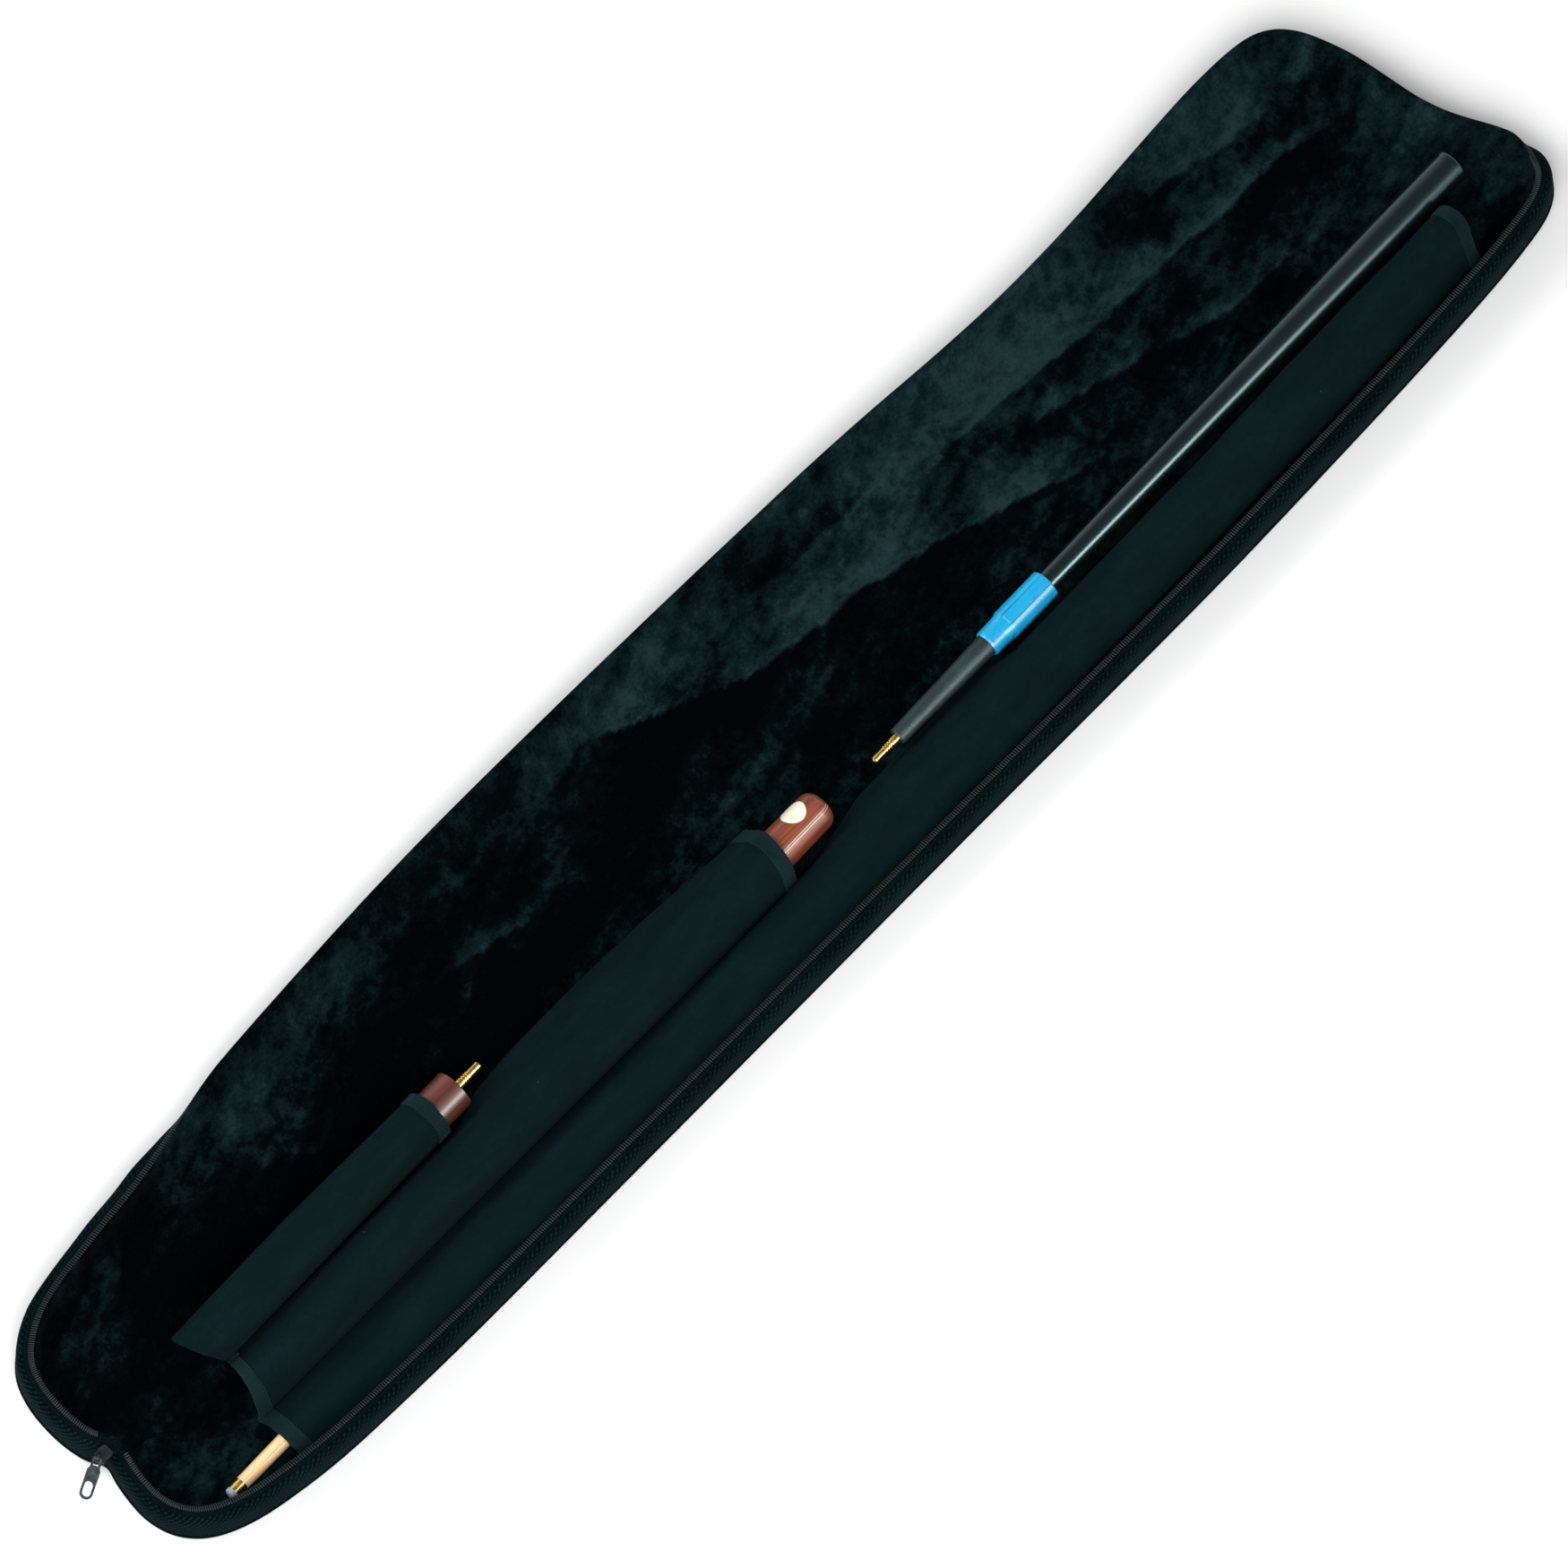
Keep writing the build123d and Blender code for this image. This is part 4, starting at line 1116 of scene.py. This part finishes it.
PLUSH = plush_paint()
KNIT = knit_paint()
CANVAS = weave_paint("outer_canvas", colour(0, 6, 7), colour(3, 13, 15), colour(9, 25, 27), 0, 1.4, 0.03)
TWILL = weave_paint("rim_twill", colour(0, 4, 5), colour(3, 14, 16), colour(14, 34, 37), 42, 3.2, 0.02)
TAPE = weave_paint("zip_tape_weave", colour(1, 6, 7), colour(4, 13, 15), colour(10, 24, 26), 90, 1.3, 0.03)
BINDING = weave_paint(
    "binding_tape", colour(8, 20, 22), colour(18, 35, 37), colour(38, 56, 59), 90, 1.2, 0.10
)
COIL = plastic_paint("zip_coil_nylon", colour(18, 33, 35), colour(7, 18, 19), 0.5, 500.0, 0.0001, 0.0, 0.2)
ASH = wood_paint(
    "ash", [(0.3, colour(228, 180, 124)), (0.7, colour(250, 214, 166))],
    (colour(170, 110, 62), colour(196, 140, 88)), 130.0, 0.35, 0.3,
)
BUTT = wood_paint(
    "butt_hardwood", [(0.3, colour(88, 37, 21)), (0.48, colour(128, 60, 36)), (0.7, colour(156, 86, 48))],
    (colour(62, 24, 14), colour(58, 24, 15)), 120.0, 0.36, 0.08,
)
MINI = wood_paint(
    "mini_hardwood", [(0.3, colour(64, 27, 18)), (0.7, colour(98, 46, 30))],
    (colour(43, 17, 12), colour(39, 15, 10)), 140.0, 0.36, 0.1,
)
BRASS = metal_paint("brass", colour(232, 196, 122), colour(198, 150, 74), 0.24)
ALUMINIUM = metal_paint("aluminium", colour(205, 208, 212), colour(165, 170, 175), 0.3)
SLIDER = metal_paint("slider_enamel", colour(46, 54, 56), colour(20, 26, 28), 0.38, 0.75)
PULL = metal_paint("pull_enamel", colour(60, 70, 72), colour(32, 41, 43), 0.36, 0.75)
BLACK = plastic_paint(
    "pole_black", colour(6, 13, 14), colour(3, 9, 10), 0.24, 900.0, 0.000002, specular=0.8,
    tint=(0.62, 0.95, 1, 1),
)
GRIP = plastic_paint(
    "grip_grain", colour(28, 45, 46), colour(9, 19, 20), 0.5, 520.0, 0.0004, tint=(0.75, 0.97, 1, 1)
)
BLUE = plastic_paint("collar_blue", colour(8, 166, 212), colour(3, 144, 196), 0.35, 700.0, 0.00003, 0.1)
LEATHER = plastic_paint("tip_leather", colour(158, 170, 180), colour(120, 132, 142), 0.85, 420.0, 0.0003)
VENEER = plastic_paint("veneer", colour(216, 190, 160), colour(188, 154, 122), 0.4, 300.0, 0.00002)
BADGE = plastic_paint(
    "badge_inlay", colour(236, 228, 210), colour(222, 212, 190), 0.35, 260.0, 0.00003, 0.3
)
RUBBER = plastic_paint("bumper_rubber", colour(24, 24, 25), colour(12, 12, 13), 0.8, 350.0, 0.0002)
NYLON = plastic_paint("bush_nylon", colour(225, 225, 218), colour(205, 205, 198), 0.5, 300.0, 0.00003)

CAD_LOOKS = [
    (ASH, ["shaft_wood"]),
    (BRASS, ["shaft_ferrule", "shaft_joint_collar", "butt_end_insert", "butt_joint_collar"]),
    (BRASS, ["butt_joint_pin", "mini_butt_pin", "extension_pin"]),
    (LEATHER, ["shaft_leather_tip"]),
    (BUTT, ["butt_wood"]),
    (BADGE, ["butt_badge"]),
    (VENEER, ["butt_veneer_lines"]),
    (MINI, ["mini_butt_wood"]),
    (RUBBER, ["mini_butt_bumper"]),
    (GRIP, ["extension_grip"]),
    (ALUMINIUM, ["extension_inner_tube", "extension_collet"]),
    (NYLON, ["extension_guide_bush"]),
    (BLUE, ["extension_collar"]),
    (BLACK, ["extension_outer_tube", "extension_end_cap"]),
    (SLIDER, ["zip_slider_body", "zip_top_stops"]),
    (PULL, ["zip_pull_tab"]),
]
for look, nodes in CAD_LOOKS:
    for node in nodes:
        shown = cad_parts[node]
        shown.data.materials.clear()
        shown.data.materials.append(look)


def dress(obj, material):
    obj.data.materials.clear()
    obj.data.materials.append(material)


dress(lining, PLUSH)
dress(cover, CANVAS)
dress(band, TWILL)
dress(piping, CANVAS)
dress(groove_cord, TAPE)
dress(tabs, TAPE)
for obj in tapes:
    dress(obj, TAPE)
for obj in coils:
    dress(obj, COIL)
for obj in (shaft_cloth, butt_cloth, mini_cloth):
    dress(obj, KNIT)
for obj in (fold_of_tape, *hems.values()):
    dress(obj, BINDING)
dress(clips, SLIDER)

# ---------------------------------------------------------------- what each piece rides on and stands for
for obj in (lining, cover, band, piping, groove_cord, tabs, clips):
    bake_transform(obj)
for obj, body in zip(tapes + coils, ("base", "lid", "base", "lid")):
    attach(obj, body)
for obj in (shaft_cloth, butt_cloth, mini_cloth, fold_of_tape, *hems.values()):
    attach(obj, "base")

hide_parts("base_cover", "lid_cover", "spine_cover_strip")
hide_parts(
    "base_foam_pad", "lid_foam_pad", "base_plush_lining", "lid_plush_lining", "base_wall_lining",
    "lid_wall_lining", "spine_plush_strip",
)
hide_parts("base_padded_wall", "lid_padded_wall")
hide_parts("spine_end_tabs")
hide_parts("zip_top_stops")
for obj, node in zip(tapes + coils, ("base_zip_tape", "lid_zip_tape", "base_zip_coil", "lid_zip_coil")):
    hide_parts(node)
for obj, node in (
    (shaft_cloth, "shaft_sleeve"), (butt_cloth, "butt_sleeve"), (mini_cloth, "mini_butt_sleeve"),
    (hems["shaft_top_binding"], "shaft_sleeve_top_hem"),
    (hems["shaft_bottom_binding"], "shaft_sleeve_bottom_hem"),
    (hems["butt_top_binding"], "butt_sleeve_top_hem"),
    (hems["butt_bottom_binding"], "butt_sleeve_bottom_hem"),
    (hems["mini_top_binding"], "mini_butt_sleeve_hem"),
):
    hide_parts(node)

# ---------------------------------------------------------------- floor, light and camera
FLOOR_REACH = 30000.0
FLOOR_Z = -0.6
floor_corners = [(x * FLOOR_REACH, y * FLOOR_REACH, FLOOR_Z) for x, y in ((-1, -1), (1, -1), (1, 1), (-1, 1))]
floor = mesh("floor", floor_corners, [(0, 1, 2, 3)], smooth=False)
ground = Paint("pale_floor")
tone = ground.noise(ground.place("Object"), 1.5, 2.0, 0.5)
pale = ground.ramp(tone, [(0.4, 0.86), (0.6, 0.88)])
floor.data.materials.append(ground.finish(pale))
ground.set(Roughness=0.9, Specular_IOR_Level=0.1)

world = bpy.data.worlds.new("studio")
world.use_nodes = True
sky = world.node_tree
direction = sky.nodes.new("ShaderNodeTexCoord")
parts = sky.nodes.new("ShaderNodeSeparateXYZ")
shade = sky.nodes.new("ShaderNodeValToRGB")
for stop, (height, level) in zip((0, 1), ((0.08, 1.0), (0.85, 0.15))):
    shade.color_ramp.elements[stop].position = height
    shade.color_ramp.elements[stop].color = (level, level, level, 1)
sky.links.new(direction.outputs["Generated"], parts.inputs[0])
sky.links.new(parts.outputs["Z"], shade.inputs["Fac"])
sky.links.new(shade.outputs["Color"], sky.nodes["Background"].inputs["Color"])
sky.nodes["Background"].inputs["Strength"].default_value = 1.35
bpy.context.scene.world = world


def lamp(name, place, aim, size, power, gloss_only=False):
    data = bpy.data.lights.new(name, "AREA")
    data.shape = "RECTANGLE"
    data.size, data.size_y = size
    data.energy = power
    made = bpy.data.objects.new(name, data)
    made.location = place
    made.rotation_euler = (Vector(aim) - Vector(place)).to_track_quat("-Z", "Y").to_euler()
    made.visible_camera = False
    made.visible_diffuse = not gloss_only
    bpy.context.scene.collection.objects.link(made)


lamp("strip_light", (-0.25, -1.94, 1.25), (-0.25, 0, 0), (2.4, 0.75), 95, gloss_only=True)
lamp("soft_light", (-1.3, -1.3, 2.6), (0, 0, 0), (3.0, 2.4), 105)
lamp("back_light", (-1.3, 2.2, 2.0), (0, 0, 0), (2.0, 1.2), 48)

LENS = 800.0
SENSOR = 36.0
VIEW_WIDTH = 1750 / 1770.0  # metres across the picture, at the case
AIM = Vector((0.0207, -0.0067, 0))
data = bpy.data.cameras.new("camera")
data.lens = LENS
data.sensor_width = SENSOR
azimuth, elevation = math.radians(-47.65), math.radians(70.0)
level = math.cos(elevation)
back = Vector((math.sin(azimuth) * level, -math.cos(azimuth) * level, math.sin(elevation)))
distance = VIEW_WIDTH / (SENSOR / LENS)
camera = bpy.data.objects.new("camera", data)
camera.location = AIM + back * distance
camera.rotation_euler = (-back).to_track_quat("-Z", "Y").to_euler()
data.clip_end = 200.0
bpy.context.scene.collection.objects.link(camera)
bpy.context.scene.camera = camera
bpy.context.scene.view_settings.view_transform = "Standard"
